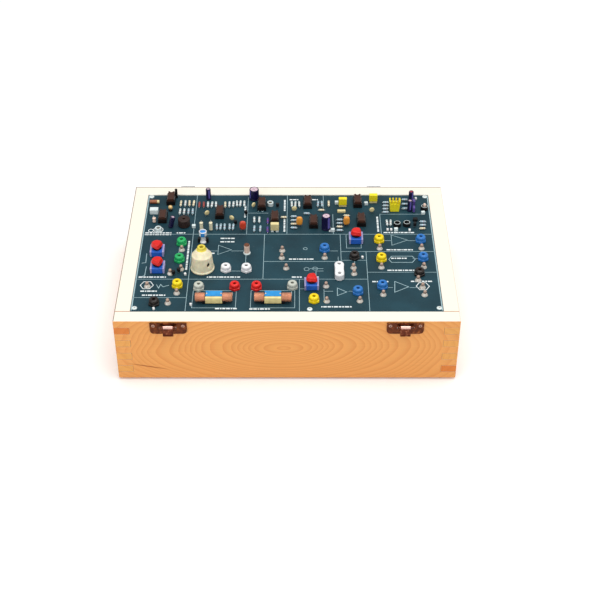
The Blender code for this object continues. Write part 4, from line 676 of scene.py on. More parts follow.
foot = {
    "radius": 8.0, "floorRadius": 7.0, "height": 2.7, "recess": 3.6, "recessDepth": 1.5, "hole": 0.2,
    "chamfer": 0.8, "ease": 0.5, "screw": ((0.1, 0.5), (1.6, 0.6), (2.9, 1.3), (0.1, 1.5)),
    "screwEase": 0.3,
}
footShape = spun([
    (foot["hole"], foot["recessDepth"]), (foot["recess"], foot["recessDepth"]),
    (foot["recess"] + foot["hole"], 0), (foot["floorRadius"], 0),
    (foot["radius"], foot["height"] - foot["chamfer"]), (foot["radius"], foot["height"]),
    (foot["hole"], foot["height"])], foot["ease"])
footShape = joined([footShape, spun(foot["screw"], foot["screwEase"], 24, 1)])
for node in ("foot_front_left", "foot_front_right", "foot_back_left", "foot_back_right"):
    makePiece("rubber_" + node, placed(footShape, middleOf(node)), ["rubber", "zinc"],
              instead=[node])

cross = {"reach": 0.55, "width": 1.1 / 9, "low": 0.9, "proud": 0.03, "ease": 0.02, "crown": 0.62,
         "side": 0.45}


def screwHead(radius, rise, size=cross):
    # a pan head lying on z = 0: a dome of radius and height pairs, and a cross let into it in the
    # second finish; where that is black, it is painted shade in the recess
    dome = spun([(radius, 0), (radius, rise * size["side"]), (radius * size["crown"], rise),
                 (0.02 * radius, rise)], radius * 0.3, 28)
    long = radius * size["reach"]
    wide = radius * size["width"]
    bars = [easedBlock((-x, -y, rise * size["low"]), (x, y, rise + size["proud"]), size["ease"], 1)
            for x, y in ((long, wide), (wide, long))]
    return joined([dome, *bars])


def facing(shape, direction):
    # a shape made to lie on z = 0 stood up, so that its top looks along -Y, +Y or -Z
    points, *rest = shape
    x, y, z = points.T
    stood = {"front": (x, -z, y), "back": (-x, z, y), "below": (x, -y, -z)}[direction]
    return (np.stack(stood, -1), *rest)


baseScrews = {"radius": 3.2, "rise": 0.25, "inset": 11.0, "proud": 0.02}
baseLow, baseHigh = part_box("base_board")
screwX = np.array([-1, 0, 1]) * (baseHigh.x - baseLow.x - 2 * baseScrews["inset"] * mm) / 2
screwY = np.array([-1, 1]) * (baseHigh.y - baseLow.y - 2 * baseScrews["inset"] * mm) / 2
screwY = screwY + (baseHigh.y + baseLow.y) / 2
basePlaces = [(x, y, baseLow.z + baseScrews["proud"] * mm) for x in screwX for y in screwY]
baseScrew = facing(screwHead(baseScrews["radius"], baseScrews["rise"]), "below")
makePiece("base_screws", placed(baseScrew, basePlaces), ["zinc", "black"])

# Panel: slab and corner screws

makePiece("panel_slab", easedBlock(panelLow, (panelHigh.x, panelHigh.y, panelTop), panel["ease"] * mm),
          ["panel"], instead=["panel_board"])
panelScrew = screwHead(panel["screwRadius"], panel["screwRise"])
makePiece("panel_screws", placed(panelScrew, onPanel(panel["screws"]), np.arange(5) * panel["screwTurn"]),
          ["boxWhite", "pin"])

# Sockets: a hexagonal lower tier and a domed cap of one plastic, with a brass sleeve in the bore

socket = {"hexCorner": 7.5, "hexHeight": 2.8, "hexEase": 0.35, "cap": 6.15, "height": 8.3,
          "dome": 1.7, "bore": 2.0, "boreDepth": 12.0, "barrel": 3.9, "below": 6.0, "draft": 0.1,
          "ease": 0.9, "sleeveDrop": 2.2, "sleeveWall": 0.3, "sleeveLength": 7.0, "sleeveMouth": 0.2}
hexagon = np.array([(math.cos(a), math.sin(a)) for a in (np.arange(6) + 0.5) * fullTurn / 6])


def socketShape(size=socket):
    # up the barrel, out under the cap, up its side, over the dome and down the bore, plus the
    # hexagon that the cap stands on
    top = size["height"]
    rim = size["cap"] - size["draft"]
    cap = spun([
        (size["barrel"], -size["below"]), (size["barrel"], size["draft"]), (rim, size["draft"]),
        (rim, size["hexHeight"]), (size["cap"], size["hexHeight"] + 0.9), (rim, top - size["dome"]),
        (size["cap"] - 1.0, top - 0.35), (size["bore"] + 1.3, top),
        (size["bore"] + 0.4, top - size["draft"]), (size["bore"], top - 0.7),
        (size["bore"], top - size["boreDepth"])], size["ease"], 56)
    tier = carried(softened(hexagon * size["hexCorner"], size["hexEase"], 2, True),
                   [(0, 0.0), (0, size["hexHeight"] - 0.5), (0.12, size["hexHeight"] - 0.15),
                    (0.45, size["hexHeight"] + 0.1), (1.4, size["hexHeight"] + 0.5)])
    return joined([cap, tier])


def sleeveShape(size=socket):
    # a thin brass tube with a rolled mouth
    radius = size["bore"]
    top = size["height"] - size["sleeveDrop"]
    mouth = top - size["sleeveMouth"]
    inner = radius - size["sleeveWall"]
    low = top - size["sleeveLength"]
    return turned([(inner, low), (radius, low), (radius, mouth), (radius - size["sleeveWall"] / 2, top),
                   (inner, mouth)], 32, closed=True)


socketNodes = sorted(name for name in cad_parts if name.startswith("socket_") and "double" not in name)
for node in socketNodes:
    colour = node.split("_")[1]
    makePiece("cap_" + node, placed(socketShape(), onSeat(node)), [colour + "Socket"],
              instead=[node])


def cutAway(piece, tool):
    # takes the tool's volume out of the piece and keeps the result as the piece's mesh
    step = piece.modifiers.new("cut", "BOOLEAN")
    step.object = tool
    step.operation = "DIFFERENCE"
    step.solver = "EXACT"
    shading = piece.modifiers[0]
    shading.show_viewport = False
    graph = bpy.context.evaluated_depsgraph_get()
    mesh = bpy.data.meshes.new_from_object(piece.evaluated_get(graph))
    piece.modifiers.remove(step)
    piece.data = mesh
    shading.show_viewport = True
    bpy.data.objects.remove(tool)


double = {"pitch": 19.0, "radius": 6.0, "waist": 0.07, "web": 8.2, "lift": 0.5, "height": 9.0,
          "collar": 5.5, "ease": 1.1, "boreDepth": 12.0, "below": 6.0, "funnel": 0.6,
          "steps": 14, "between": 10, "spareBore": 3.0}


def doubleWeb(size=double):
    # a stadium outline drawn in by a waist, x times 1 - waist cos(pi y / pitch) squared between the
    # bores, carried up and eased at the top
    outline = roundedOutline(2 * size["radius"], size["pitch"] + 2 * size["radius"],
                             size["radius"] * 0.97, size["steps"])
    along = np.linspace(-size["pitch"] / 2, size["pitch"] / 2, size["between"] + 2)[1:-1]
    right = np.stack([np.full(size["between"], size["radius"]), along], -1)
    cut = 2 * (size["steps"] + 1)
    outline = np.concatenate([outline[:cut], -right, outline[cut:], right])
    near = np.clip(np.abs(outline[:, 1]) / size["pitch"], 0, 0.5)
    outline[:, 0] *= 1 - size["waist"] * np.cos(near * math.pi) ** 2
    rise = easedEnds(0, size["web"], size["ease"], 4)[5:]
    return carried(outline, np.concatenate([[(0.35, 0)], [(0, 0.4)], rise]))


def doubleCollar(size=double):
    # round each bore: up a barrel, out over the web, up the collar and down the bore
    start = size["web"] - 1.0
    return spun([
        (socket["barrel"], -size["below"]), (socket["barrel"], start), (size["collar"], start),
        (size["collar"] - 0.2, size["height"] - 0.8), (size["collar"] - 1.1, size["height"]),
        (socket["bore"] + size["funnel"], size["height"]), (socket["bore"], size["height"] - 0.7),
        (socket["bore"], size["height"] - size["boreDepth"])], 0.5, steps=3)


doublePlace = onSeat("socket_double")
bores = doublePlace + np.array([(0, side * double["pitch"] / 2, 0) for side in (-1, 1)]) * mm
raised = bores + (0, 0, double["lift"] * mm)
doublePiece = makePiece("double_socket_web", placed(doubleWeb(), doublePlace),
                        ["whiteSocket"], instead=["socket_double"])
spare = turned([(double["spareBore"], -1.0), (double["spareBore"], 12.0)], 32)
cutAway(doublePiece, makePiece("bore_tool", placed(spare, raised), ["whiteSocket"]))
makePiece("double_socket_collars", placed(doubleCollar(), bores), ["whiteSocket"])
makePiece("socket_sleeves", placed(sleeveShape(), [*map(onSeat, socketNodes), *raised]), ["darkBrass"])
print("trainer: case, panel and sockets done")


# Potentiometers: blue body between two lilac cheeks, threaded bushing, nut, red knob

pot = {"side": 18.2, "height": 8.0, "ease": 0.9, "cheek": 2.2, "cheekDrop": 0.3, "bushing": 4.6,
       "bushingHeight": 3.0, "pitch": 0.75, "thread": 0.22, "nutCorner": 5.6, "nutHeight": 1.5,
       "washer": 5.8, "washerHeight": 0.5, "shaft": 3.0}


def potShape(size=pot):
    # an eased block between two lower ones, a washer, a hexagonal nut and a ribbed bushing
    half = size["side"] / 2
    seam = half - size["cheek"]
    blue = easedBlock((-seam, -half, 0), (seam, half, size["height"]), size["ease"], 0, 3)
    cheeks = [easedBlock((side * half, 0.3 - half, 0),
                         (side * (seam - 0.2), half - 0.3, size["height"] - size["cheekDrop"]), 0.5, 1)
              for side in (-1, 1)]
    low = size["height"] + size["washerHeight"]
    washer = spun([(size["shaft"] + 0.4, size["height"]), (size["washer"], size["height"]),
                   (size["washer"], low), (size["shaft"] + 0.4, low)], 0.2, finish=2)
    nut = carried(softened(hexagon * size["nutCorner"], 0.3, 2, True),
                  easedEnds(low, low + size["nutHeight"], 0.35), 2)
    top = size["height"] + size["bushingHeight"]
    turns = np.arange(low + size["nutHeight"] - 0.3, top - 0.2, size["pitch"] / 2)
    crest = size["bushing"] - size["thread"] * (np.arange(len(turns)) % 2)
    thread = np.concatenate([[(size["bushing"] - 0.4, turns[0])], np.stack([crest, turns], -1),
                             [(size["bushing"] - 0.6, top), (size["shaft"] + 0.3, top)]])
    return joined([blue, *cheeks, washer, nut, turned(thread, 40, 2)])


knob = {"radius": 6.5, "nose": 9.2, "tip": 0.8, "height": 5.2, "wing": 0.16,
        "wingAngle": 1.75, "wingReach": 0.5, "rim": 1.5, "shrink": 1.2, "lift": 0.8, "ease": 0.7,
        "dish": 0.3, "shaftDepth": 7.0, "line": 0.7, "lineSunk": 0.25, "lineProud": 0.06,
        "steps": 40, "turnShares": (0.78, 0.80, 0.86, 0.88)}


def knobOutline(shrink, size=knob):
    # a round back whose tangents meet in a blunt nose, which points along +X before it is turned.
    # Its radius swells at both shoulders: 1 + wing exp(-((angle from nose - wing angle) / reach) squared)
    radius = size["radius"] - shrink
    nose = size["nose"] - shrink
    spread = math.acos(radius / nose)
    angle = np.linspace(spread, fullTurn - spread, size["steps"])
    fromNose = np.minimum(angle, fullTurn - angle)
    wing = 1 + size["wing"] * np.exp(-((fromNose - size["wingAngle"]) / size["wingReach"]) ** 2)
    back = radius * wing[:, None] * onCircle(angle)
    tip = np.array([(-1, -size["tip"] / nose), (-1, size["tip"] / nose)])
    return np.concatenate([back, nose * onCircle(tip[:, 1])])


def knobShape(size=knob):
    # teardrops stacked from the rim to a slightly hollow crown, with a shaft below and a moulded
    # ridge that runs over the crown and down the nose
    crown = size["height"] - size["ease"]
    heights = np.array([0, size["rim"], size["rim"] + 0.25, crown, size["height"] - 0.25, size["height"],
                        size["height"], size["height"] - size["dish"]])
    shrinks = np.array([0, 0, 0.35, size["shrink"] * 0.85, size["shrink"] + 0.15, size["shrink"] + 0.8,
                        size["shrink"] + 1.4, size["shrink"] + 2.2])
    body = stacked(zip(map(knobOutline, shrinks), heights))
    shaftEnd = -size["lift"] - size["shaftDepth"]
    shaft = turned([(pot["shaft"] - 0.4, shaftEnd), (pot["shaft"], shaftEnd + 0.4),
                    (pot["shaft"], 0.2)], 28, 1)
    top = size["height"]
    nose = size["nose"] - size["shrink"]
    line = [(-0.5, top - size["dish"]), (nose - 3.4, top - size["dish"]), (nose - 2.0, top - 0.1),
            (nose - 1.0, top - 0.3), (nose - 0.25, crown - 0.4), (nose + 0.3, size["rim"] + 1.2)]
    side = size["line"] / 2
    section = [(-side, -size["lineSunk"]), (side, -size["lineSunk"]),
               (side, size["lineProud"]), (-side, size["lineProud"])]
    strip = np.array([[(x, y, z + rise) for y, rise in section] for x, z in line])
    strip[-2:, 2:, 0] += 0.12
    return joined([body, shaft, gridShape(strip)])


for number, turnShare in enumerate(knob["turnShares"], 1):
    place = middleOf(f"pot_body_{number}")
    makePiece(f"pot_{number}_fine", placed(potShape(), place), ["potBlue", "potCover", "black"],
              instead=[f"pot_body_{number}"])
    lift = (pot["height"] + pot["bushingHeight"] + knob["lift"]) * mm
    makePiece(f"knob_{number}_fine", placed(knobShape(), place + (0, 0, lift), turnShare * fullTurn),
              ["knobRed", "nickel"], body=f"knob_{number}", instead=[f"pot_knob_{number}"])
print("trainer: potentiometers done")


# Light hood: turned shell with a cable slot, yellowed neck

hood = {"flange": 15.2, "flangeHeight": 2.0, "radius": 14.2, "shoulder": 12.8, "shoulderHeight": 23.0,
        "cone": 6.6, "coneHeight": 30.0, "neck": 5.3, "height": 34.5, "bore": 2.5, "wall": 2.0,
        "slotRadius": 2.2, "slotStretch": 1.3, "slotHeight": 12.5, "slotLength": 9.0, "slotTurnShare": 0.86}


def hoodShape(size=hood):
    # the shell's closed section turned: outside up to the neck's mouth, down the bore, and down
    # the inside. The neck's rows take the yellowed finish
    top = size["height"]
    shoulder = size["shoulderHeight"]
    cone = size["coneHeight"]
    wall = size["wall"]
    profile = softened([
        (size["flange"], 0), (size["flange"], size["flangeHeight"]),
        (size["radius"], size["flangeHeight"] + 0.9), (size["shoulder"], shoulder - 1.2),
        (size["shoulder"] - 1.2, shoulder), (size["cone"], cone), (size["neck"], cone + 1.6),
        (size["neck"] - 0.25, top - 0.7), (size["neck"] - 0.9, top), (size["bore"], top - 0.2),
        (size["bore"], cone), (size["cone"] - wall, cone - wall),
        (size["shoulder"] - wall, shoulder - wall - 1.2), (size["radius"] - wall, 0)], 0.8, 4, True)
    return turned(profile, 96, np.where(profile[:, 1] > cone - 0.2, 1, 0), closed=True)


hoodPlace = middleOf("light_hood")
hoodPiece = makePiece("hood_shell", placed(hoodShape(), hoodPlace), ["ivory", "neck"],
                      instead=["light_hood"])
slotBar = turned([(hood["slotRadius"], side * hood["slotLength"] / 2) for side in (-1, 1)], 32, axis="X")
slotTurn = hood["slotTurnShare"] * fullTurn
slotPlace = hoodPlace + np.array([math.cos(slotTurn) * hood["radius"], math.sin(slotTurn) * hood["radius"],
                                  hood["slotHeight"]]) * mm
slotShape = placed(scaled(slotBar, (1, 1, hood["slotStretch"])), slotPlace, slotTurn)
cutAway(hoodPiece, makePiece("slot_tool", slotShape, ["ivory"]))

# Lens holder with its blue lens

lens = {"foot": 4.8, "stem": 3.0, "stemHeight": 8.0, "cup": 5.0, "height": 17.0, "recess": 3.9,
        "recessDepth": 1.2, "flare": 3.0, "lug": (3.2, 4.0, 6.5), "shadeEase": 0.4, "shadeSide": 5.4,
        "shadeFront": 0.5}


def lensShape(size=lens):
    # foot, stem and cup turned, and a lens whose rows follow a quarter circle
    cup = spun([
        (size["foot"], 0), (size["foot"], size["flare"] / 2), (size["stem"], size["flare"]),
        (size["stem"], size["stemHeight"]), (size["cup"], size["stemHeight"] + size["flare"]),
        (size["cup"], size["height"]), (size["recess"], size["height"]),
        (size["recess"], size["height"] - size["recessDepth"] - 1.0)], 0.6, 48)
    arc = np.linspace(0, 0.96, 10) * math.pi / 2
    glass = np.stack([size["recess"] * 0.99 * np.cos(arc),
                      size["height"] - size["recessDepth"] - 0.4 + 1.5 * np.sin(arc)], -1)
    window = easedBlock((-2.6, -size["cup"] - 0.15, size["height"] - 6.5),
                        (2.6, 1 - size["cup"], size["height"] - 0.8), 0.4, 1)
    return joined([cup, turned(glass, 48, 1), window])


lensPlace = middleOf("lens_holder")
makePiece("lens_holder_fine", placed(lensShape(), lensPlace), ["white", "lens"],
          instead=["lens_holder"])
# two black blocks beside the stem, under the cup, stand for the shade there: painted shade
shadeWidth, shadeDepth, shadeHeight = lens["lug"]
stemShade = easedBlock((-shadeWidth / 2, -shadeDepth / 2, 0), (shadeWidth / 2, shadeDepth / 2, shadeHeight),
                     lens["shadeEase"])
stemShadePlaces = [lensPlace + np.array((side * lens["shadeSide"], -lens["shadeFront"], 0)) * mm for side in (-1, 1)]
makePiece("lens_stem_shade", placed(stemShade, stemShadePlaces), ["black"])


# Line coils: wire laid turn by turn at both ends of a grooved bobbin, tape behind, black feet below as
# painted shade

coil = {"length": 46.0, "winding": 12.5, "radius": 5.6, "wire": 0.36, "lift": 1.5,
        "bobbinDepth": 10.0, "bobbinHeight": 8.0, "groove": 3.0, "grooveDepth": 1.6,
        "tape": 4.0, "tapeHeight": 10.0, "overlap": 6.2, "foot": 4.0, "lug": 1.3, "lugInset": 1.6,
        "end": 5.5, "endDepths": (3.4, 6.6), "endHeights": (5.5, 9.2),
        "shares": {"line_coil_left": (0.265, 0.080), "line_coil_right": (0.455, 0.080)}}


def coilShape(size=coil):
    # each winding is one turned body whose radius is the core's plus the arc of every turn:
    # square root of 1 - ((x - middle) / half pitch) squared, times the wire's radius
    axis = size["lift"] + size["radius"]
    end = size["length"] / 2
    inner = end - size["winding"]
    depth = size["bobbinDepth"] / 2
    low = size["lift"] / 2
    high = size["lift"] + size["bobbinHeight"]
    pitch = 2 * size["wire"]
    turnsCount = int(size["winding"] / pitch)
    phase = np.linspace(-1, 1, 7)[:-1]
    along = (np.arange(turnsCount)[:, None] * pitch + pitch / 2 * (1 + phase)).ravel() + 0.05
    bump = np.tile(np.sqrt(1 - np.clip(np.abs(phase), 0, 0.98) ** 2), turnsCount)
    radius = size["radius"] - size["wire"] * (1 - bump)
    radius[:3] -= 0.5
    radius[-3:] -= 0.5
    winding = turned(np.stack([radius, along], -1), 48, 0, "X")
    lug = spun([(size["lug"], 0), (size["lug"], 1.2), (0.05, 1.7)], 0.5, 20, 4)
    parts = []
    for side in (-1, 1):
        parts += [
            copied(winding, (min(side * inner, side * end), 0, axis)),
            # black feet under the inner ends of the windings: painted shade under the coil
            easedBlock((side * inner, -depth, 0), (side * (inner + size["foot"]), depth, axis - 1.2),
                       0.5, 3),
            copied(lug, (side * (inner - size["lugInset"]), depth - size["lugInset"], high - 0.2)),
            easedBlock((side * end, size["endDepths"][0], size["endHeights"][0]),
                       (side * (end - size["end"]), size["endDepths"][1], size["endHeights"][1]), 0.6, 5)]
    gap = size["groove"] / 2
    floor = high - size["grooveDepth"]
    section = softened([(-depth, low), (depth, low), (depth, high), (gap, high), (gap, floor),
                        (-gap, floor), (-gap, high), (-depth, high)], 0.5, 3, True)
    parts.append(carried(section, easedEnds(-inner + 0.1, inner - 0.1, 0.3, 2), 1, "YZ"))
    parts.append(easedBlock((0.3 - inner, depth - size["overlap"], low),
                            (inner - 0.3, depth + size["tape"], size["tapeHeight"]), 0.5, 2))
    return joined(parts)


for node, share in coil["shares"].items():
    makePiece(node + "_fine", placed(coilShape(), [*onPanel(share)[0, :2], seat]),
              ["wire", "bobbin", "tape", "black", "tin", "pinkBody"], instead=[node])
print("trainer: hood, lens holder and coils done")


# Cans, connector and sounder

def canShape(radius, height, stripeTurn=0.0):
    # a rolled sleeve over a can: groove near the foot, rounded shoulder, recessed metal top with
    # a cross scored in it, black as painted shade in the grooves, and a pale stripe down one side
    side = spun([
        (0.6 * radius, 0), (radius, 0), (radius, 1.6), (radius - 0.45, 2.2), (radius, 2.8),
        (radius, height - 0.9), (radius - 0.7, height), (radius - 1.4, height),
        (radius - 1.5, height - 0.5)], 0.4, 56)
    lid = turned([(radius - 1.2, height - 0.6), (radius - 1.55, height - 0.35),
                  (0.03 * radius, height - 0.3)], 56, 1)
    reach = radius - 2.2
    score = easedBlock((-reach, -0.12, height - 0.35), (reach, 0.12, height - 0.22), 0.04, 3)
    scores = copied(score, [(0, 0, 0), (0, 0, 0)], (0.5, 0.5 + math.pi / 2))
    band = np.linspace(-0.32, 0.32, 9) + stripeTurn
    corners = ((radius - 0.2, 3.2), (radius + 0.03, 3.2), (radius + 0.03, height - 1.0),
               (radius - 0.2, height - 1.0))
    rows = [np.stack([r * np.cos(band), r * np.sin(band), np.full(9, z)], -1) for r, z in corners]
    return joined([side, lid, scores, gridShape(np.stack(rows).transpose(1, 0, 2), 2)])


# each can's radius, its height and the turn of its stripe
can = {"tall_capacitor": (6.45, 16.0, 3.6), "short_capacitor": (5.95, 21.0, 5.4)}
canCoats = ["canNavy", "canTop", "canStripe", "black"]
for node, (radius, height, stripeTurn) in can.items():
    makePiece(node + "_fine", placed(canShape(radius, height, stripeTurn), middleOf(node)),
              canCoats, instead=[node])

header = {"width": 15.0, "depth": 9.0, "height": 16.5, "teeth": 4, "tooth": 4.5, "wall": 1.4,
          "ease": 0.25, "pins": 4, "pin": 0.64, "pinLow": 5.0, "pinHigh": 13.5, "pinPitch": 2.8,
          "pinRow": 1.3, "waist": 0.22}


def headerShape(size=header):
    # a toothed front and back wall, two plain ends, a floor half way up and two rows of square
    # pins, all drawn in towards the foot: x times 1 - waist (1 - z / height)
    half = size["width"] / 2
    pitch = size["width"] / (2 * size["teeth"] - 1)
    steps = np.repeat(half - np.arange(2 * size["teeth"]) * pitch, 2)[1:-1]
    tops = np.repeat(size["height"] - size["tooth"] * (np.arange(2 * size["teeth"] - 1) % 2), 2)
    outline = np.concatenate([[(-half, 0), (half, 0)], np.stack([steps, tops], -1)])
    outline = softened(outline, size["ease"], 2, True)
    toothed = carried(outline, easedEnds(0, size["wall"], 0.2, 2), 0, "XZ")
    deep = size["depth"] / 2
    parts = [copied(toothed, (0, -deep, 0)), copied(toothed, (0, deep - size["wall"], 0))]
    parts += [easedBlock((side * half, 0.3 - deep, 0),
                         (side * (half - size["wall"]), deep - 0.3, size["height"]), size["ease"])
              for side in (-1, 1)]
    parts.append(easedBlock((0.5 - half, 0.5 - deep, 0.2),
                            (half - 0.5, deep - 0.5, size["height"] / 2), 0.2))
    across = (np.arange(size["pins"]) - (size["pins"] - 1) / 2) * size["pinPitch"]
    side = size["pin"] / 2
    pin = easedBlock((-side, -side, size["pinLow"]), (side, side, size["pinHigh"]), 0.18, 1)
    parts.append(copied(pin, [(x, y, 0) for x in across for y in (-size["pinRow"], size["pinRow"])]))
    points, *rest = joined(parts)
    points[:, 0] *= 1 - size["waist"] * (1 - points[:, 2] / size["height"])
    return (points, *rest)


makePiece("header_fine", placed(headerShape(), middleOf("yellow_header")),
          ["header", "tin"], instead=["yellow_header"])
sounder = {"radius": 7.95, "foot": 7.0, "height": 11.0, "groove": (5.0, 5.6), "grooveDepth": 0.25,
           "hole": 1.8, "holeDepth": 3.0}


def sounderShape(size=sounder):
    # up the side, over the top with its ring groove, and down the hole
    top = size["height"]
    inner, outer = size["groove"]
    floor = top - size["grooveDepth"]
    return spun([
        (size["foot"], 0), (size["radius"], 0.6), (size["radius"], top - 0.8), (7.3, top), (outer, top),
        (outer - 0.2, floor), (inner + 0.2, floor), (inner, top), (size["hole"] + 0.3, top),
        (size["hole"], top - 0.4), (size["hole"], top - size["holeDepth"])], 0.3, 56)


makePiece("sounder_fine", placed(sounderShape(), middleOf("sounder")), ["sounder"],
          instead=["sounder"])
print("trainer: cans, connector and sounder done")


# Chips in their sockets

chip = {"socketWidth": 11.8, "socketLength": 20.5, "socketHeight": 6.0, "width": 8.8, "length": 19.2,
        "height": 4.0, "notch": 1.9, "legs": 7, "legPitch": 2.54, "leg": 0.5, "taper": 0.28,
        "shares": ((0.084, 0.945), (0.063, 0.778), (0.261, 0.816), (0.407, 0.893), (0.454, 0.765),
                   (0.569, 0.911), (0.589, 0.730), (0.746, 0.920), (0.755, 0.747))}


def chipShape(size=chip):
    # an open socket frame, legs that come out of the body's middle and turn down into it, and a
    # moulded body in two tapered halves, the upper one with its notch
    halfWidth = size["socketWidth"] / 2
    halfLength = size["socketLength"] / 2
    top = size["socketHeight"]
    frameBlock = easedBlock((-halfWidth, -halfLength, 0), (halfWidth, halfLength, top), 0.45, 1)
    half = size["width"] / 2
    end = size["length"] / 2
    middle = top + size["height"] * 0.45
    rows = (np.arange(size["legs"]) - (size["legs"] - 1) / 2) * size["legPitch"]
    side = size["leg"] / 2
    legs = []
    for way in (-1, 1):
        path = softened([(way * (half - 0.4), middle), (way * (half + 0.75), middle),
                         (way * (half + 0.95), top - 0.6)], 0.4, 3)
        inner = np.insert(path, 1, 0, 1)
        ring = [(0, -side, -0.12), (0, side, -0.12), (0, side, 0.12), (0, -side, 0.12)]
        leg = gridShape(inner[:, None] + np.array(ring), 2)
        legs.append(copied(leg, np.stack([rows * 0, rows, rows * 0], -1)))
    plain = np.array([(-half, -end), (half, -end), (half, end), (-half, end)])
    arc = np.linspace(0, math.pi, 9)
    bite = np.stack([size["notch"] * np.cos(arc), end - size["notch"] * np.sin(arc)], -1)
    notched = np.concatenate([plain[:3], bite, plain[3:]])
    lower = carried(plain, [(size["taper"], top - 0.1), (0, middle)])
    upper = carried(notched, [(0, middle), (size["taper"], top + size["height"] - 0.15),
                              (size["taper"] + 0.12, top + size["height"])])
    dimple = turned([(0.75, 0), (0.6, 0.03), (0.05, 0.03)], 20, 1)
    spot = (-2.8, end - 4.0, top + size["height"] - 0.02)
    return joined([frameBlock, *legs, lower, upper, copied(dimple, spot)])


makePiece("chips", placed(chipShape(), onPanel(chip["shares"])), ["chip", "chipSocket", "tin"])

# Boxed and dipped capacitors, trimmers, slim cans

block = {"width": 11.0, "depth": 5.5, "height": 13.0, "ease": 0.7, "foot": 2.6, "split": 1.4,
         "shares": ((0.693, 0.900), (0.802, 0.935), (0.455, 0.668))}


def blockShape(size=block, legs=False):
    # an eased block on a pale foot; with legs, it stands on two pale stubs
    half = np.array([size["width"], size["depth"]]) / 2
    body = easedBlock((*-half, size["foot"]), (*half, size["height"]), size["ease"], 0, 3)
    gap = size["split"] if legs else -0.2
    stubs = [easedBlock((side * gap, 0.3 - half[1], 0),
                        (side * (half[0] - 0.4), half[1] - 0.3, size["foot"] + 0.6), 0.35, 1)
             for side in (-1, 1)]
    return joined([body, *stubs])


blockPlaces = onPanel(block["shares"])
makePiece("yellow_boxes", placed(blockShape(), blockPlaces[:2]), ["boxYellow", "boxCream"])
makePiece("cream_box", placed(blockShape(legs=True), blockPlaces[2:]), ["boxCream", "boxWhite"])

roll = {"radius": 2.6, "length": 13.0, "collar": 3.2, "step": 0.25, "share": (0.026, 0.925)}


def rollShape(size=roll):
    # a barrel lying along X; the faces of its slimmer collar take the second finish
    half = size["length"] / 2
    collar = half - size["collar"]
    slim = size["radius"] - size["step"]
    profile = softened([(0.1, -half), (size["radius"], -half), (size["radius"], collar),
                        (slim, collar + 0.2), (slim, half), (0.1, half)], 0.6)
    return copied(turned(profile, 40, np.where(profile[:-1, 1] > collar, 1, 0), "X"),
                  (0, 0, size["radius"]))


makePiece("brown_roll", placed(rollShape(), onPanel(roll["share"])),
          ["boxBrown", "boxCream"])

drop = {"size": (8.6, 5.0, 13.0), "belly": 0.7, "middle": 8.8, "pitch": 5.0,
        "leg": ((0.25, 0), (0.25, 1.2), (0.55, 1.9), (0.3, 3.2)),
        "shares": ((0.540, 0.712), (0.703, 0.715), (0.345, 0.672))}


def dropShape(size=drop):
    # a pillow on two legs that swell under it
    leg = spun(size["leg"], 0.3, 10, 1)
    return joined([copied(bulged(size["size"], size["belly"]), (0, 0, size["middle"])),
                   copied(leg, [(side * size["pitch"] / 2, 0, 0) for side in (-1, 1)])])


dropPlaces = onPanel(drop["shares"])
makePiece("orange_drops", placed(dropShape(), dropPlaces[:2]), ["dropOrange", "tin"])
makePiece("red_drop", placed(dropShape(), dropPlaces[2:]), ["dropRed", "tin"])

trimmer = {"base": ((4.0, 0), (4.2, 0.4), (4.2, 5.0), (3.8, 5.5), (2.9, 5.5), (2.7, 4.0)),
           "rotor": ((2.8, 3.6), (2.2, 4.3), (1.4, 4.5), (0.05, 4.5)),
           "slot": ((-1.3, -0.3, 4.4), (1.3, 0.3, 4.62)), "slotTurn": 0.7,
           "shares": ((0.437, 0.905), (0.053, 0.672)), "turns": (0.0, 1.1)}
trimmerShape = joined([spun(trimmer["base"], 0.3), spun(trimmer["rotor"], 0.25, 32, 2),
                       copied(easedBlock(*trimmer["slot"], 0.05, 1), (0, 0, 0), trimmer["slotTurn"])])
makePiece("trimmers", placed(trimmerShape, onPanel(trimmer["shares"]), trimmer["turns"]),
          ["boxWhite", "brass", "black"])

slimCan = {"radius": 3.35, "height": 17.0, "shares": ((0.216, 0.965), (0.928, 0.855)),
           "turns": (5.1, 4.9), "redShare": (0.936, 0.940), "redTurn": 5.3,
           "leaningHeight": 16.5, "leaningShare": (0.099, 0.705),
           "leaningShift": (-2.0, 0, 0.8), "leaningStripe": 0.4, "lean": 0.24}
slimShape = canShape(slimCan["radius"], slimCan["height"])
makePiece("slim_cans", placed(slimShape, onPanel(slimCan["shares"]), slimCan["turns"]),
          canCoats)
makePiece("red_top_can", placed(slimShape, onPanel(slimCan["redShare"]), slimCan["redTurn"]),
          ["canNavy", "redTop", "canStripe", "black"])
leaningCan = canShape(slimCan["radius"], slimCan["leaningHeight"], slimCan["leaningStripe"])
leaningPlace = onPanel(slimCan["leaningShare"]) + np.array(slimCan["leaningShift"]) * mm
makePiece("leaning_can", placed(leaned(leaningCan, slimCan["lean"]), leaningPlace), canCoats)

# Test pins

pin = {"flange": 4.0, "flangeHeight": 0.8, "bell": 2.5, "bellHeight": 3.2, "top": 2.2, "height": 8.0,
       "post": 3.6, "postFoot": 4.6, "postHeight": 14.2, "postPixel": (247.0, 253.2)}
pinShares = (
    (0.142, 0.143), (0.117, 0.065), (0.627, 0.198), (0.628, 0.080),
    (0.735, 0.082), (0.812, 0.132), (0.946, 0.130), (0.812, 0.512), (0.954, 0.513),
    (0.813, 0.352), (0.954, 0.355), (0.720, 0.349), (0.721, 0.299), (0.625, 0.433),
    (0.481, 0.432), (0.482, 0.494), (0.496, 0.345), (0.142, 0.500),
    (0.147, 0.337), (0.113, 0.302), (0.930, 0.248), (0.043, 0.198), (0.942, 0.190),
)


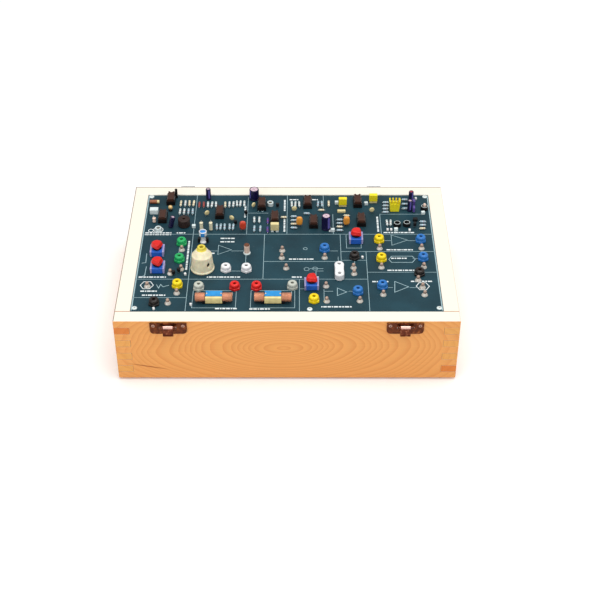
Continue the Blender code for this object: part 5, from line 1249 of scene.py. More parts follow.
def bellShape(size=pin):
    # radius and height pairs of a bell with a rounded top; rows above the bell take the top's finish
    profile = softened([
        (size["flange"], 0), (size["flange"], size["flangeHeight"]), (size["bell"], size["bellHeight"]),
        (size["top"] - 0.4, size["bellHeight"] + 0.8), (size["top"], size["bellHeight"] + 1.8),
        (size["top"], size["height"] - 1.6), (size["top"] - 0.9, size["height"] - 0.2),
        (0.05, size["height"])], 0.7)
    return turned(profile, 28, np.where(profile[:-1, 1] > size["bellHeight"] + 0.4, 1, 0))


def postShape(size=pin):
    # a pinkish cream post with a dark top on a pale foot
    height = size["postHeight"]
    foot = spun([(size["postFoot"], 0), (size["postFoot"], 1.4), (size["post"], 1.8)], 0.4, 36, 2)
    column = spun([(size["post"], 1.5), (size["post"], height - 1.4),
                   (size["post"] - 0.3, height - 1.3)], 0.3, 36)
    top = spun([(size["post"] - 0.25, height - 1.8), (size["post"] - 0.25, height), (0.05, height)],
               0.7, 36, 1)
    return joined([foot, column, top])


makePiece("test_pins", placed(bellShape(), onPanel(pinShares)), ["pin", "pinTop"])
makePiece("cream_post", placed(postShape(), seenAt(pin["postPixel"])),
          ["pinkBody", "bandBrown", "boxWhite"])
print("trainer: chips, capacitors, trimmers and pins done")

# Resistors: barrel with swollen ends, colour bands, leads bent down to the panel

resistor = {"length": 10.5, "radius": 1.65, "waist": 1.4, "lead": 0.36, "span": 14.5, "lift": 2.1,
            "bands": ((0.20, 0.25, 1), (0.36, 0.41, 2), (0.78, 0.83, 3))}
shortResistor = {**resistor, "length": 6.8, "span": 9.6}


def resistorShape(size=resistor):
    # radius along the body: the waist plus a swelling of |2t - 1| to the fourth; the finish of
    # each row of faces is the band that its place t falls in
    t = np.unique([*np.linspace(0, 1, 15), *np.ravel([band[:2] for band in size["bands"]])])
    radius = size["waist"] + (size["radius"] - size["waist"]) * np.minimum(1, 1.5 * np.abs(2 * t - 1) ** 4)
    along = (t - 0.5) * size["length"]
    end = size["radius"] - 0.35
    radius = np.concatenate([[0.45, end], radius[1:-1], [end, 0.45]])
    along = np.concatenate([[along[0] - 0.3], along, [along[-1] + 0.3]])
    middle = (along[:-1] + along[1:]) / 2 / size["length"] + 0.5
    tint = np.zeros(len(middle), int)
    for low, high, number in size["bands"]:
        tint[(middle > low) & (middle < high)] = number
    body = turned(np.stack([radius, along], -1), 20, tint, "Y")
    parts = [copied(body, (0, 0, size["lift"]))]
    for way in (-1, 1):
        side = way * size["span"] / 2
        path = softened([(way * size["length"] * 0.48, size["lift"]), (side, size["lift"]),
                         (side, 0)], 0.9, 3)
        parts.append(pipe(np.insert(path, 0, 0, 1), size["lead"], (1, 0, 0), 7, 4))
    return joined(parts)


# rows of resistors by tone: where the middle of each shows in the picture, in its pixels
resistorRows = {
    "cream": [(180.9, 203.4), (189.5, 203.2), (193.8, 203.2), (225.2, 204.6), (328.7, 203.5)],
    "white": [(185.4, 203.2), (208.0, 204.4), (212.0, 204.4), (216.0, 204.4), (229.4, 204.4),
              (233.4, 204.2), (237.0, 203.4), (240.4, 203.4), (244.4, 203.6), (291.8, 204.1),
              (295.4, 204.1), (299.2, 204.1), (180.0, 211.4), (184.2, 211.4), (387.0, 222.6),
              (390.6, 222.6), (254.3, 219.6), (259.3, 219.6)],
    "blue": [(188.5, 211.4), (192.7, 211.4), (318.0, 203.8), (321.9, 203.8), (254.3, 228.6), (260.3, 228.6),
             (216.8, 226.6), (220.6, 226.6), (224.6, 226.6), (229.6, 226.6), (233.2, 226.6)],
    "red": [(199.4, 204.6), (203.8, 204.6)],
    "lilac": [(267.8, 220.8), (267.6, 229.6)],
}
shortRows = {
    "cream": [(321.4, 210.0), (283.8, 217.2), (346.4, 215.6), (422.4, 228.4), (293.8, 223.9),
              (339.6, 226.7)],
    "blue": [(293.8, 216.4), (293.8, 220.2), (293.8, 227.7), (339.6, 219.7), (339.6, 223.2),
             (339.6, 230.2), (385.6, 202.4), (385.6, 205.6), (385.6, 208.8), (385.6, 212.0),
             (422.8, 221.6), (422.8, 225.0), (404.8, 199.6), (404.8, 204.0), (404.8, 208.4),
             (306.8, 213.4)],
}
bandCoats = ["bandBrown", "bandRed", "bandBlack", "tin"]
tones = {"cream": "creamBody", "white": "boxWhite", "blue": "blueBody", "red": "redBody",
         "lilac": "lilacBox"}
unevenness = 0.05
for group, rows, size, across in (("resistors", resistorRows, resistor, 0.0),
                                  ("short_resistors", shortRows, shortResistor, math.pi / 2)):
    for tone, pixels in rows.items():
        sway = across + unevenness * np.sin(np.arange(len(pixels)) * 2.4)
        makePiece(f"{group}_{tone}", placed(resistorShape(size), seenAt(pixels, size["lift"]), sway),
                  [tones[tone], *bandCoats])

# Small things: ceramic discs, plastic transistors, upright resistors, nylon blocks

disc = {
    "radius": 3.6, "thickness": 2.6, "lift": 5.4, "pitch": 4.4, "lead": 0.3, "seenHeight": 5.0,
    "pixels": [(207.0, 213.0), (231.8, 218.0), (294.3, 208.8), (371.8, 210.0), (253.6, 205.0),
               (346.8, 221.0)],
    "turns": [0.5, -0.5, 0.1, 0.2, 0.9, 0.3],
}


def discShape(size=disc):
    # a lens-like profile turned about Y, and two leads that bend in towards it
    half = size["thickness"] / 2
    near = size["radius"] * 0.83
    body = spun([(0.2, -half), (near, -half * 0.8), (size["radius"], 0), (near, half * 0.8), (0.2, half)],
                0.9, 32, axis="Y")
    side = size["pitch"] / 2
    path = np.insert(softened([(side, 0), (side, 2.6), (side - 0.6, 4.0)], 0.5), 1, 0, 1)
    leads = [pipe(path * (way, 1, 1), size["lead"], (0, 1, 0), 7, 1) for way in (-1, 1)]
    return joined([copied(body, (0, 0, size["lift"])), *leads])


transistor = {
    "radius": 2.3, "flat": 0.75, "low": 2.6, "high": 7.2, "pitch": 1.27, "leg": 0.5, "seenHeight": 5.0,
    "pixels": [(173.4, 272.0), (178.6, 269.6), (277.6, 204.6), (414.8, 223.8), (235.4, 222.0),
               (246.0, 212.0)],
    "turns": [0.2, 2.4, 0.1, 1.2, 3.3, 0.4],
}


def transistorShape(size=transistor):
    # a circle with a flat cut off its far side, carried up, on three square legs
    reach = math.pi * size["flat"]
    angle = np.linspace(-reach, reach, 15) - math.pi / 2
    outline = softened(size["radius"] * onCircle(angle), 0.2, 1, True)
    side = size["leg"] / 2
    leg = easedBlock((-side, -side, 0), (side, side, size["low"] + 0.4), 0.1, 1, 1)
    return joined([carried(outline, easedEnds(size["low"], size["high"], 0.25, 2)),
                   copied(leg, [(x, 0.3, 0) for x in (-size["pitch"], 0, size["pitch"])])])


upright = {"low": 2.2, "high": 14.6, "radius": 2.5, "waist": 2.2, "lead": 0.36, "reach": 3.0,
           "seenHeight": 8.5, "pixels": [(201.4, 225.9), (210.8, 225.9)], "turns": 0.0}
lowUpright = {**upright, "low": 1.2, "high": 8.4, "seenHeight": 5.0, "pixels": [(154.2, 219.6)],
              "turns": 0.4}


def uprightShape(size=upright):
    # a resistor stood on end: a turned body, its top lead bent over and down behind it
    low = size["low"]
    high = size["high"]
    body = spun([(0.5, low), (size["radius"], low + 0.6), (size["waist"], low + 2.4),
                 (size["waist"], high - 2.4), (size["radius"], high - 0.6), (0.5, high)], 0.6, 24)
    path = softened([(0, high - 0.3), (0, high + 1.2), (size["reach"], high + 1.2),
                     (size["reach"], 0)], 0.9, 4)
    return joined([body, pipe(np.insert(path, 0, 0, 1), size["lead"], (1, 0, 0), 8, 1),
                   turned([(size["lead"], 0), (size["lead"], low + 0.4)], 8, 1)])


for name, shape, size, coats, slot in (
        ("ceramic_discs", discShape(), disc, ["boxCream", "tin"], "ivory"),
        ("transistors", transistorShape(), transistor, ["black", "tin"], "rocker_black"),
        ("upright_resistors", uprightShape(), upright, ["creamBody", "tin"], "ivory"),
        ("pink_upright", uprightShape(lowUpright), lowUpright, ["pinkBody", "tin"], "ivory")):
    makePiece(name, placed(shape, seenAt(size["pixels"], size["seenHeight"]), size["turns"]), coats)

# blocks by name: low and high corner round their place in mm, finish, pixels of their middles
smallBlocks = {
    "nylon_blocks": ((-2.4, -2.0, 0), (2.4, 2.0, 4.4), "boxWhite",
                     [(336.6, 202.6), (193.8, 226.2), (332.8, 230.0), (396.0, 229.4), (366.0, 203.4),
                      (423.0, 212.8)]),
    "white_block": ((-5.6, -3.8, 0), (5.6, 3.8, 7.0), "boxWhite", [(154.2, 210.8)]),
    "pale_bar": ((-5.4, -2.2, 0), (5.4, 2.2, 3.2), "boxCream", [(341.4, 211.2)]),
    "black_fin": ((-1.7, -1.1, 0), (1.7, 1.1, 14.5), "black", [(176.3, 193.4)]),
    "dark_block": ((-3.0, -2.4, 0), (3.0, 2.4, 4.0), "black", [(415.2, 219.4)]),
    "small_whites": ((-1.4, -1.6, 0), (1.4, 1.6, 3.0), "white",
                     [(387.6, 229.6), (391.2, 229.6), (409.6, 230.0), (415.8, 198.6), (169.2, 273.2),
                      (190.6, 304.4), (362.4, 257.2), (185.2, 274.0), (153.6, 308.6)]),
}
blockEase = 0.45
for name, (low, high, coat, pixels) in smallBlocks.items():
    shape = easedBlock(low, high, blockEase, 0, 3)
    makePiece(name, placed(shape, seenAt(pixels, high[2] / 2), unevenness * np.arange(len(pixels))),
              [coat])

bead = {"foot": ((2.6, 0), (2.6, 2.4), (2.0, 2.9), (0.2, 2.9)), "ball": 6.0, "middle": 5.2,
        "pixel": (170.4, 207.4)}
ball = bulged(np.full(3, bead["ball"]), 1.0, 16)
beadShape = joined([spun(bead["foot"], 0.3, 32, 1), copied(ball, (0, 0, bead["middle"]))])
makePiece("gold_bead", placed(beadShape, seenAt(bead["pixel"], bead["middle"])),
          ["bead", "black"])

# round sockets: a dark ring with a pale rim line, and one with a pink stud in it
roundSocket = {"ring": ((5.0, 0), (5.0, 2.6), (4.4, 3.0), (2.6, 3.0), (2.4, 1.6), (0.05, 1.6)),
               "rim": ((3.6, -0.1), (4.1, -0.1), (4.1, 0.12), (3.6, 0.12)), "rimHeight": 2.95,
               "stud": ((1.8, 1.0), (1.8, 4.6), (0.9, 5.4), (0.05, 5.4)), "stretch": 1.7, "seenHeight": 3.4}
rimLine = copied(turned(roundSocket["rim"], 40, 1, closed=True), (0, 0, roundSocket["rimHeight"]))
ring = joined([spun(roundSocket["ring"], 0.4), rimLine])
stud = spun(roundSocket["stud"], 0.6, 24, 2)
for name, shape, pixels in (("round_socket", ring, [(406.8, 223.2), (397.2, 223.6)]),
                            ("studded_socket", joined([ring, stud]), [(424.4, 207.0)])):
    shape = scaled(shape, (1, 1, roundSocket["stretch"]))
    makePiece(name, placed(shape, seenAt(pixels, roundSocket["seenHeight"])),
              ["black", "boxWhite", "pinkBody"])

purple = {"body": ((-1.6, -3.2, 1.2), (1.6, 3.2, 8.6)),
          "leg": ((-0.3, -0.3, 0), (0.3, 0.3, 1.6)), "legSide": 2.0, "seenHeight": 5.0,
          "pixels": ((413.8, 202.2), (413.8, 208.8)), "turns": (0.1, 0.0)}
purpleLegs = copied(easedBlock(*purple["leg"], 0.1, 1, 1),
                    [(0, side * purple["legSide"], 0) for side in (-1, 1)])
purpleShape = joined([easedBlock(*purple["body"], 0.8, 0, 3), purpleLegs])
purplePlaces = seenAt(purple["pixels"], purple["seenHeight"])
makePiece("purple_boxes", placed(purpleShape, purplePlaces, purple["turns"]), ["lilacBox", "tin"])
print("trainer: resistors and other small parts done")


# Latches: plate, ears and pin on the case; barrel and leaf of the lever on its own body

latch = {"width": 45.0, "height": 17.0, "thickness": 1.4, "lowCorner": 6.0, "topCorner": 1.5,
         "leverWidth": 15.0, "barrel": 2.3, "wall": 1.2, "length": 11.6, "lip": 2.2, "earWidth": 2.2,
         "gap": 0.3, "pivotDrop": 4.6, "bright": 1.8, "screwX": 18.0, "screwDrop": 4.2}
plateCorners = np.array([(-0.5, -0.5), (0.5, -0.5), (0.5, 0.5), (-0.5, 0.5)])


def latchPlateShape(size=latch):
    # round the plate's middle at y = 0, its back: an eased plate, two ears rounded over the pin,
    # and the pin's riveted ends
    corners = np.array([size["lowCorner"], size["lowCorner"], size["topCorner"], size["topCorner"]])
    outline = softened(plateCorners * (size["width"], size["height"]), corners, 8, True)
    plate = carried(outline, easedEnds(-size["thickness"], 0, 0.45), 0, "XZ")
    radius = size["barrel"]
    pinY = -size["thickness"] - size["gap"] - radius
    pinZ = size["height"] / 2 - size["pivotDrop"]
    arc = np.linspace(0.5, 1.5, 15) * math.pi
    nose = np.stack([pinY + radius * np.cos(arc), pinZ + radius * np.sin(arc)], -1)
    root = -size["thickness"] + 0.2
    ear = np.concatenate([[(root, pinZ + radius)], nose, [(root, pinZ - radius)]])
    start = size["leverWidth"] / 2 + size["gap"]
    reach = start + size["earWidth"]
    ears = [carried(ear, easedEnds(low, low + size["earWidth"], 0.3, 2), 0, "YZ")
            for low in (-reach, start)]
    pin = spun([(0.1, -reach - 0.5), (1.3, -reach - 0.2), (1.3, -reach + 0.2), (0.85, -reach + 0.3),
                (0.85, reach - 0.3), (1.3, reach - 0.2), (1.3, reach + 0.2), (0.1, reach + 0.5)],
               0.2, 20, 1, "X")
    return joined([plate, *ears, copied(pin, (0, pinY, pinZ))])


def latchLeverShape(size=latch):
    # round the pin: a rolled barrel with eased ends, its middle in the second finish as a painted
    # highlight, and the leaf with its lip
    half = size["leverWidth"] / 2
    radius = size["barrel"]
    bright = half - size["bright"]
    rows = softened([(1.2, -half), (radius, -half), (radius, -bright), (radius, bright), (radius, half),
                     (1.2, half)], 0.4)
    middle = (rows[:-1, 1] + rows[1:, 1]) / 2
    barrel = turned(rows, 40, np.where(np.abs(middle) < bright, 1, 0), "X")
    inner = size["wall"] - radius
    long = size["length"]
    lip = size["lip"]
    leaf = softened([(-radius - lip / 2, -long), (inner - lip / 2, -long), (inner, -long + lip), (inner, 0),
                     (-radius, 0), (-radius, -long + lip)], 0.55, 3, True)
    ends = easedEnds(-half + size["wall"], half - size["wall"], 0.5, 3)
    return joined([barrel, carried(leaf, ends, 0, "YZ")])


wallScrew = {"radius": 2.2, "rise": 0.9, "sunk": 0.05}
screwUp = screwHead(wallScrew["radius"], wallScrew["rise"])
for side in ("left", "right"):
    back = backOf(f"latch_plate_{side}")
    makePiece(f"latch_plate_{side}_fine", placed(latchPlateShape(), back), ["bronze", "nickel"],
              instead=[f"latch_plate_{side}"])
    pivot = back + np.array([0, -latch["thickness"] - latch["gap"] - latch["barrel"],
                             latch["height"] / 2 - latch["pivotDrop"]]) * mm
    makePiece(f"latch_lever_{side}_fine", placed(latchLeverShape(), pivot), ["lever", "barrelHighlight"],
              body=f"lever_{side}", instead=[f"latch_lever_{side}"])
    screwPlaces = [back + np.array([way * latch["screwX"], -latch["thickness"] + wallScrew["sunk"],
                                    latch["height"] / 2 - latch["screwDrop"]]) * mm for way in (-1, 1)]
    makePiece(f"latch_screws_{side}", placed(facing(screwUp, "front"), screwPlaces),
              ["latchScrew", "black"])

# Hinge leaves on the back wall

hinge = {"width": 40.0, "height": 18.0, "thickness": 1.5, "corner": 3.0, "barrel": 2.64, "pin": 1.3,
         "pinLength": 17.0, "barrelLength": 19.0, "bore": 1.4, "topCorner": 0.6, "screwX": (-14, 0, 14),
         "screwDrop": 9.5}


def hingeShape(size=hinge):
    # round the leaf's top middle at y = 0, the wall side: leaf, rolled barrel with a knuckle
    # groove, and the pin that the lid's leaf drops on
    corners = np.array([size["corner"], size["corner"], size["topCorner"], size["topCorner"]])
    outline = softened(plateCorners * (size["width"], size["height"]) - (0, size["height"] / 2),
                       corners, 6, True)
    leaf = carried(outline, easedEnds(0, size["thickness"], 0.35), 0, "XZ")
    start = -size["width"] / 2
    end = start + size["barrelLength"]
    tip = end + size["pinLength"]
    barrel = spun([(size["bore"], start), (size["barrel"], start), (size["barrel"], end),
                   (size["bore"], end)], 0.4, axis="X")
    pin = spun([(size["pin"], end - 0.5), (size["pin"], tip - 1.2), (0.5, tip)], 0.6, 24, axis="X")
    return joined([leaf, copied(joined([barrel, pin]), (0, size["barrel"], 0))])


for side in ("left", "right"):
    low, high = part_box(f"hinge_leaf_{side}")
    top = np.array([(low.x + high.x) / 2, low.y, high.z - hinge["barrel"] * mm])
    makePiece(f"hinge_leaf_{side}_fine", placed(hingeShape(), top), ["zinc"],
              instead=[f"hinge_leaf_{side}"])
    screwPlaces = [top + np.array([x, hinge["thickness"] - wallScrew["sunk"], -hinge["screwDrop"]]) * mm
                   for x in hinge["screwX"]]
    makePiece(f"hinge_screws_{side}", placed(facing(screwUp, "back"), screwPlaces), ["nickel", "black"])
print("trainer: latches and hinges done")


# Mains inlet: flange with its well, blades and screws

inlet = {"width": 49.0, "height": 24.0, "corner": 8.0, "thickness": 2.4, "bodyWidth": 27.8,
         "bodyHeight": 20.0, "bodyDepth": 23.0, "wellWidth": 24.0, "wellHeight": 16.5, "wellCorner": 3.5,
         "wellDepth": 18.0, "bladeLength": 12.0, "blade": 2.0, "bladeHeight": 4.0, "pitch": 7.0,
         "raise": 2.0, "screwX": 20.0, "ease": 0.6, "bevel": 0.6}


def fromWall(shape):
    # a shape made on z = 0 stood up so that its top looks along +Y, with its own Y upwards
    points, *rest = shape
    x, y, z = points.T
    return (np.stack([x, z, y], -1), *rest)


def inletShape(size=inlet):
    # a loop of sections: the body's back, its sides, the flange's back and rounded front, then
    # over a bevelled mouth into the well and down to its floor
    steps = 8
    ease = size["ease"]
    bevel = size["bevel"]
    flange = roundedOutline(size["width"], size["height"], size["corner"], steps)
    flangeIn = roundedOutline(size["width"] - ease * 2, size["height"] - ease * 2,
                              size["corner"] - ease, steps)
    body = roundedOutline(size["bodyWidth"], size["bodyHeight"], 1.0, steps)
    well = roundedOutline(size["wellWidth"], size["wellHeight"], size["wellCorner"], steps)
    mouth = roundedOutline(size["wellWidth"] + 2 * bevel, size["wellHeight"] + 2 * bevel,
                           size["wellCorner"] + 0.4, steps)
    face = size["thickness"]
    floor = face - size["wellDepth"]
    rows = [(body, -size["bodyDepth"]), (body, 0.0), (flange, 0.0), (flange, face - ease), (flangeIn, face),
            (mouth, face), (well, face - bevel), (well, floor)]
    wide = size["blade"] / 2
    high = size["bladeHeight"] / 2
    blade = easedBlock((-wide, -high, floor - 0.3), (wide, high, floor + size["bladeLength"]), 0.35, 1, 3)
    spots = [(way * size["pitch"], rise * size["raise"], 0) for way, rise in ((-1, -1), (0, 1), (1, -1))]
    return fromWall(joined([stacked(rows), copied(blade, spots)]))


inletPlace = backOf("power_inlet") - (0, inlet["thickness"] * mm, 0)
makePiece("inlet_fine", placed(inletShape(), inletPlace), ["black", "nickel"],
          instead=["power_inlet"])
inletProud = inlet["thickness"] - wallScrew["sunk"]
inletScrews = [inletPlace + np.array([way * inlet["screwX"], inletProud, 0]) * mm for way in (-1, 1)]
makePiece("inlet_screws", placed(facing(screwUp, "back"), inletScrews), ["nickel", "black"])

# Mains switch: frame with its window, and the rocker on its own body

switch = {"width": 15.0, "height": 21.0, "thickness": 2.0, "bodyWidth": 12.8,
          "bodyHeight": 19.0, "bodyDepth": 16.0, "wellDepth": 10.0, "rockerWidth": 9.2,
          "radius": 7.2, "depth": 4.0, "dish": 1.2, "proud": 1.6, "gap": 0.3,
          "tilt": math.radians(8), "ease": 0.5, "bar": (2.4, 5.2), "barWidth": 0.8,
          "ringMiddle": -3.8, "ringRadius": 1.25, "ringWidth": 0.6, "markHeight": 0.06}


def switchFrameShape(size=switch):
    # the same kind of loop as the inlet's, with a square window
    steps = 3
    ease = size["ease"]
    flange = roundedOutline(size["width"], size["height"], 1.2, steps)
    flangeIn = roundedOutline(size["width"] - 2 * ease, size["height"] - 2 * ease, 0.8, steps)
    body = roundedOutline(size["bodyWidth"], size["bodyHeight"], 0.6, steps)
    well = roundedOutline(size["rockerWidth"] + 2 * size["gap"], 2 * (size["radius"] + size["gap"]),
                          0.15, steps)
    face = size["thickness"]
    rows = [(body, -size["bodyDepth"]), (body, 0.0), (flange, 0.0), (flange, face - ease), (flangeIn, face),
            (well, face), (well, face - size["wellDepth"])]
    return fromWall(stacked(rows))


def rockerShape(size=switch):
    # two arcs about the pivot joined by a front face that is hollow in the middle, with a bar on
    # its upper half and a ring on its lower, all tilted about the pivot
    spread = math.asin(size["depth"] / size["radius"])
    a = np.linspace(-spread, spread, 13)
    arc = size["radius"] * np.stack([np.sin(a), np.cos(a)], -1)
    hollow = (size["depth"] - size["dish"], 0.0)
    outline = softened(np.concatenate([arc, [hollow], -arc])[::-1], 0.35, 2, True)
    half = size["rockerWidth"] / 2
    body = carried(outline, easedEnds(-half, half, 0.3, 2), 0, "YZ")
    bar = printedLine([(0, end) for end in size["bar"]], size["barWidth"], 0, size["markHeight"], finish=1)
    turn = np.arange(28) * fullTurn / 28
    circle = onCircle(turn) * size["ringRadius"] + (0, size["ringMiddle"])
    marks = joined([bar, printedLine(circle, size["ringWidth"], 0, size["markHeight"], True, 1)])
    x, z, rise = marks[0].T
    slope = size["dish"] / (size["radius"] * math.cos(spread))
    marks = (np.stack([x, hollow[0] + slope * np.abs(z) + rise, z], -1), *marks[1:])
    points, *rest = joined([body, marks])
    x, y, z = points.T
    cosine = math.cos(size["tilt"])
    sine = math.sin(size["tilt"])
    tilted = np.stack([x, cosine * y - sine * z, sine * y + cosine * z], -1)
    return (tilted, *rest)


switchPlace = backOf("switch_frame") - (0, switch["thickness"] * mm, 0)
makePiece("switch_frame_fine", placed(switchFrameShape(), switchPlace), ["black"],
          instead=["switch_frame"])
rockerPlace = switchPlace + (0, (switch["thickness"] - switch["depth"] + switch["proud"]) * mm, 0)
makePiece("switch_rocker_fine", placed(rockerShape(), rockerPlace), ["black", "white"],
          body="rocker", instead=["switch_rocker"])
print("trainer: inlet and switch done")


# Screen print on the panel. Lines are in hundredths of the panel seen, from the left and front

ink = {"width": 0.62 * mm, "low": panelTop - 0.03 * mm, "high": panelTop + 0.05 * mm, "edge": 2.2,
       "seen": 1.3, "bold": 1.5, "letter": 3.4, "letterSway": 1.9, "space": 1.0,
       "labelHeight": 2.3, "rowStep": 1.5}
ruledLines = [
    (17.5, 0, 17.5, 100), (0, 63.7, 100, 63.7), (0, 25.3, 76.5, 25.3), (0, 10.5, 17.5, 10.5),
    (42, 25.3, 42, 63.7), (54, 0, 54, 25.3), (68, 25.3, 68, 63.7), (68, 48.5, 100, 48.5),
    (76.5, 0, 76.5, 48.5), (68, 41, 76.5, 41), (42, 40, 68, 40), (76.5, 31, 100, 31),
    (35.8, 64, 35.8, 98), (49.7, 64, 49.7, 100), (62.5, 88, 62.5, 100), (65.7, 64, 65.7, 82),
    (35.8, 83, 43, 83), (82.2, 82, 97, 82), (82.2, 64, 82.2, 82),
]
linkLines = [
    (13.7, 18.5, 13.7, 24), (21, 16, 21, 10), (32.6, 16, 32.6, 24), (39.6, 16, 39.6, 24),
    (51.5, 17, 51.5, 12), (29, 32, 36, 32), (36, 32, 36, 46), (13.3, 40, 13.3, 52), (62, 17, 62, 7),
    (65, 15.5, 62, 15.5), (70, 15.5, 73, 15.5), (80.5, 18.5, 84.5, 18.5), (90, 18.5, 95, 18.5),
    (80.8, 42.5, 83.5, 42.5), (92, 42.5, 95, 42.5), (80.7, 58, 85.5, 58), (91, 58, 95, 58),
    (72.5, 41, 72.5, 33), (62, 49, 67, 49), (67, 30, 67, 44), (57.5, 34, 62, 34), (35.8, 49, 31, 49),
    (26.5, 49, 22, 49), (57.2, 17.5, 54, 17.5),
]
brackets = [
    [(19.5, 2.5), (33.5, 2.5), (33.5, 16), (19.5, 16)], [(38.3, 2.5), (52.5, 2.5), (52.5, 16), (38.3, 16)],
    [(85.5, 54), (85.5, 63), (91, 58.5)], [(26.5, 46), (26.5, 54), (31, 50)],
]
edgeLines = [(0.3, 0.5, 0.3, 99.5), (99.7, 0.5, 99.7, 99.5)]
openRoutes = [[(70, 64), (70, 51.5), (75, 51.5), (75, 64)], [(59.5, 25.3), (59.5, 32), (62, 32)]]
closedSeen = [
    [(394.8, 281.4), (394.8, 292.2), (408.6, 286.8)], [(337.4, 288.0), (337.4, 295.6), (346.8, 292.0)],
    [(391.6, 256.2), (412.4, 256.2), (415.2, 259.3), (412.4, 262.4), (391.6, 262.4), (388.8, 259.3)],
]
openSeen = [
    [(146.8, 253.5), (145.8, 262.6), (141.8, 263.2)], [(146.4, 266.5), (144.6, 275.6), (141.2, 276.6)],
    [(156.4, 284.6), (158.6, 288.2), (160.6, 284.4), (163.0, 286.8), (169.0, 285.2)],
    [(258.0, 211.6), (260.0, 209.4), (262.4, 211.8), (265.0, 210.0)],
]
# rings by place and radius in mm; bold ones by pixel, radius in mm and corners
rings = [(56, 51, 2.4), (59.2, 34, 3.2), (56.4, 33.6, 3.2)]
boldRings = [
    ((146.8, 285.2), 8.2, 6), ((422.8, 286.2), 8.2, 6), ((158.4, 229.8), 6.0, 24),
    ((151.0, 230.6), 3.2, 24),
]
# labels by their start, end and line, and how many rows; upright ones by line, start and end
labelBars = [
    (0.9, 11, 64.9, 2), (11.7, 15, 64.9, 1), (1, 10.5, 27, 1), (3, 11, 12.4, 1), (2.3, 8.6, 15.6, 1),
    (84.8, 91.4, 42.7, 1), (23.5, 35.5, 27, 1), (27, 34, 1.9, 1), (38, 45, 1.6, 1), (61, 71, 3.3, 1),
    (50.5, 59.5, 42, 1), (51.5, 55.5, 27, 1), (59.3, 61, 27, 1), (83.2, 93.3, 32.6, 1),
    (77.9, 84.2, 23.3, 1), (90.6, 98, 23.5, 1), (27, 32, 57, 1), (27, 32, 60, 1), (83, 94.5, 65.2, 1),
    (83.5, 93, 50, 1), (50.5, 54.5, 95.7, 1), (58.5, 61.5, 95.7, 1), (20.5, 26, 47, 1),
]
sideBars = [(16.4, 33, 58), (81.2, 66, 80), (34.9, 79, 90), (48.8, 85, 96), (48.8, 66, 78), (64.5, 66, 72)]


def bars(start, end, line, rows, upright=False):
    # plain bars in place of printed words: each bar's length comes from a sine of its number, so
    # that they differ like words do
    length = (end - start) * (seenWindow["depth"] if upright else seenWindow["width"]) / 100
    wide = ink["letter"] + ink["letterSway"] * np.sin(np.arange(40) * 2.3 + start)
    edges = np.cumsum(wide + ink["space"]) - ink["space"]
    keep = edges < length
    parts = []
    for row in range(rows):
        for a, b in zip((edges - wide)[keep], edges[keep]):
            seen = (line, start) if upright else (start, line - ink["rowStep"] * row)
            middle = np.array([0, a + b] if upright else [a + b, 0]) / 2
            size = [ink["labelHeight"], b - a] if upright else [b - a, ink["labelHeight"]]
            half = np.array(size) / 2
            outline = seenOnPanel(seen) + (middle + half * [(-1, -1), (1, -1), (1, 1), (-1, 1)]) * mm
            parts.append(stacked([(outline, ink["low"]), (outline, ink["high"])]))
    return parts


def inked(points, share=1.0, closed=False):
    # a printed line whose width is a share of the ink's own
    return printedLine(points, share * ink["width"], ink["low"], ink["high"], closed)


def inkedRing(middle, radius, corners, share=1.0):
    # a ring, or with few corners a polygon, about its middle
    turn = np.arange(corners) * fullTurn / corners
    return inked(middle + radius * mm * onCircle(turn), share, True)


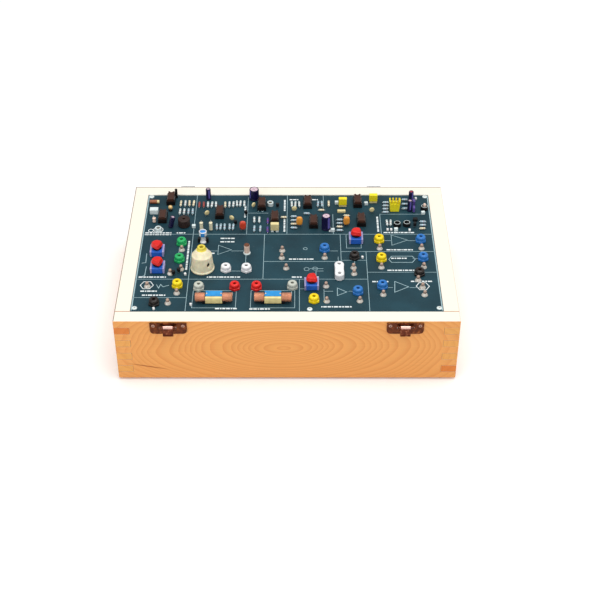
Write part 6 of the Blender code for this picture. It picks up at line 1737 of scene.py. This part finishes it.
printed = [inked(seenOnPanel([line[:2], line[2:]])) for line in ruledLines + linkLines]
printed += [inked(seenOnPanel([line[:2], line[2:]]), ink["edge"]) for line in edgeLines]
printed += [inked(seenOnPanel(outline), closed=True) for outline in brackets]
printed += [inked(seenOnPanel(route)) for route in openRoutes]
printed += [inked(seenAt(route)[:, :2], ink["seen"], route in closedSeen)
            for route in closedSeen + openSeen]
printed += [inkedRing(seenOnPanel((u, v)), radius, 40) for u, v, radius in rings]
labels = [inkedRing(seenAt(pixel)[0, :2], radius, corners, ink["bold"])
          for pixel, radius, corners in boldRings]
for start, end, line, rows in labelBars:
    labels += bars(start, end, line, rows)
for line, start, end in sideBars:
    labels += bars(start, end, line, 1, upright=True)
makePiece("screen_print", joined(printed), ["ink"])
makePiece("labels", joined(labels), ["labelInk"])
print("trainer: screen print done")


# Floor, light and camera

floorMesh = bpy.data.meshes.new("floor")
floorMesh.from_pydata([(-6, -6, 0), (6, -6, 0), (6, 6, 0), (-6, 6, 0)], [], [(0, 1, 2, 3)])
floorMesh.materials.append(finishes["floor"])
studioFloor = bpy.data.objects.new("floor", floorMesh)
bpy.context.scene.collection.objects.link(studioFloor)

# lamps: place, aim, width, depth, power and colour
studio = {
    "soft box above": ((0.25, -0.25, 2.2), (0.0, 0.0, 0.0), 2.6, 2.6, 48.0, "#FFFEFA"),
    "fill from the front left": ((-1.1, -1.5, 0.75), (0.0, 0.0, 0.05), 0.9, 0.7, 4.8, "#FAFBFF"),
}
for name, (place, aim, width, depth, power, colour) in studio.items():
    lamp = bpy.data.lights.new(name, "AREA")
    lamp.shape = "RECTANGLE"
    lamp.size = width
    lamp.size_y = depth
    lamp.energy = power
    lamp.color = linearColour(colour)[:3]
    lampObject = bpy.data.objects.new(name, lamp)
    lampObject.location = place
    direction = mathutils.Vector(aim) - mathutils.Vector(place)
    lampObject.rotation_euler = direction.to_track_quat("-Z", "Y").to_euler()
    bpy.context.scene.collection.objects.link(lampObject)

surroundings = {"colour": "#FBFCFF", "strength": 0.50}
world = bpy.data.worlds.new("white studio")
world.use_nodes = True
background = world.node_tree.nodes["Background"]
background.inputs["Color"].default_value = linearColour(surroundings["colour"])
background.inputs["Strength"].default_value = surroundings["strength"]
bpy.context.scene.world = world

lensData = bpy.data.cameras.new("camera")
lensData.lens = view["lens"]
lensData.sensor_width = view["sensor"]
lensData.clip_start = 0.05
camera = bpy.data.objects.new("camera", lensData)
camera.location = view["place"]
camera.rotation_euler = (math.radians(view["tilt"]), 0.0, 0.0)
bpy.context.scene.collection.objects.link(camera)
bpy.context.scene.camera = camera
bpy.context.scene.view_settings.view_transform = "Standard"
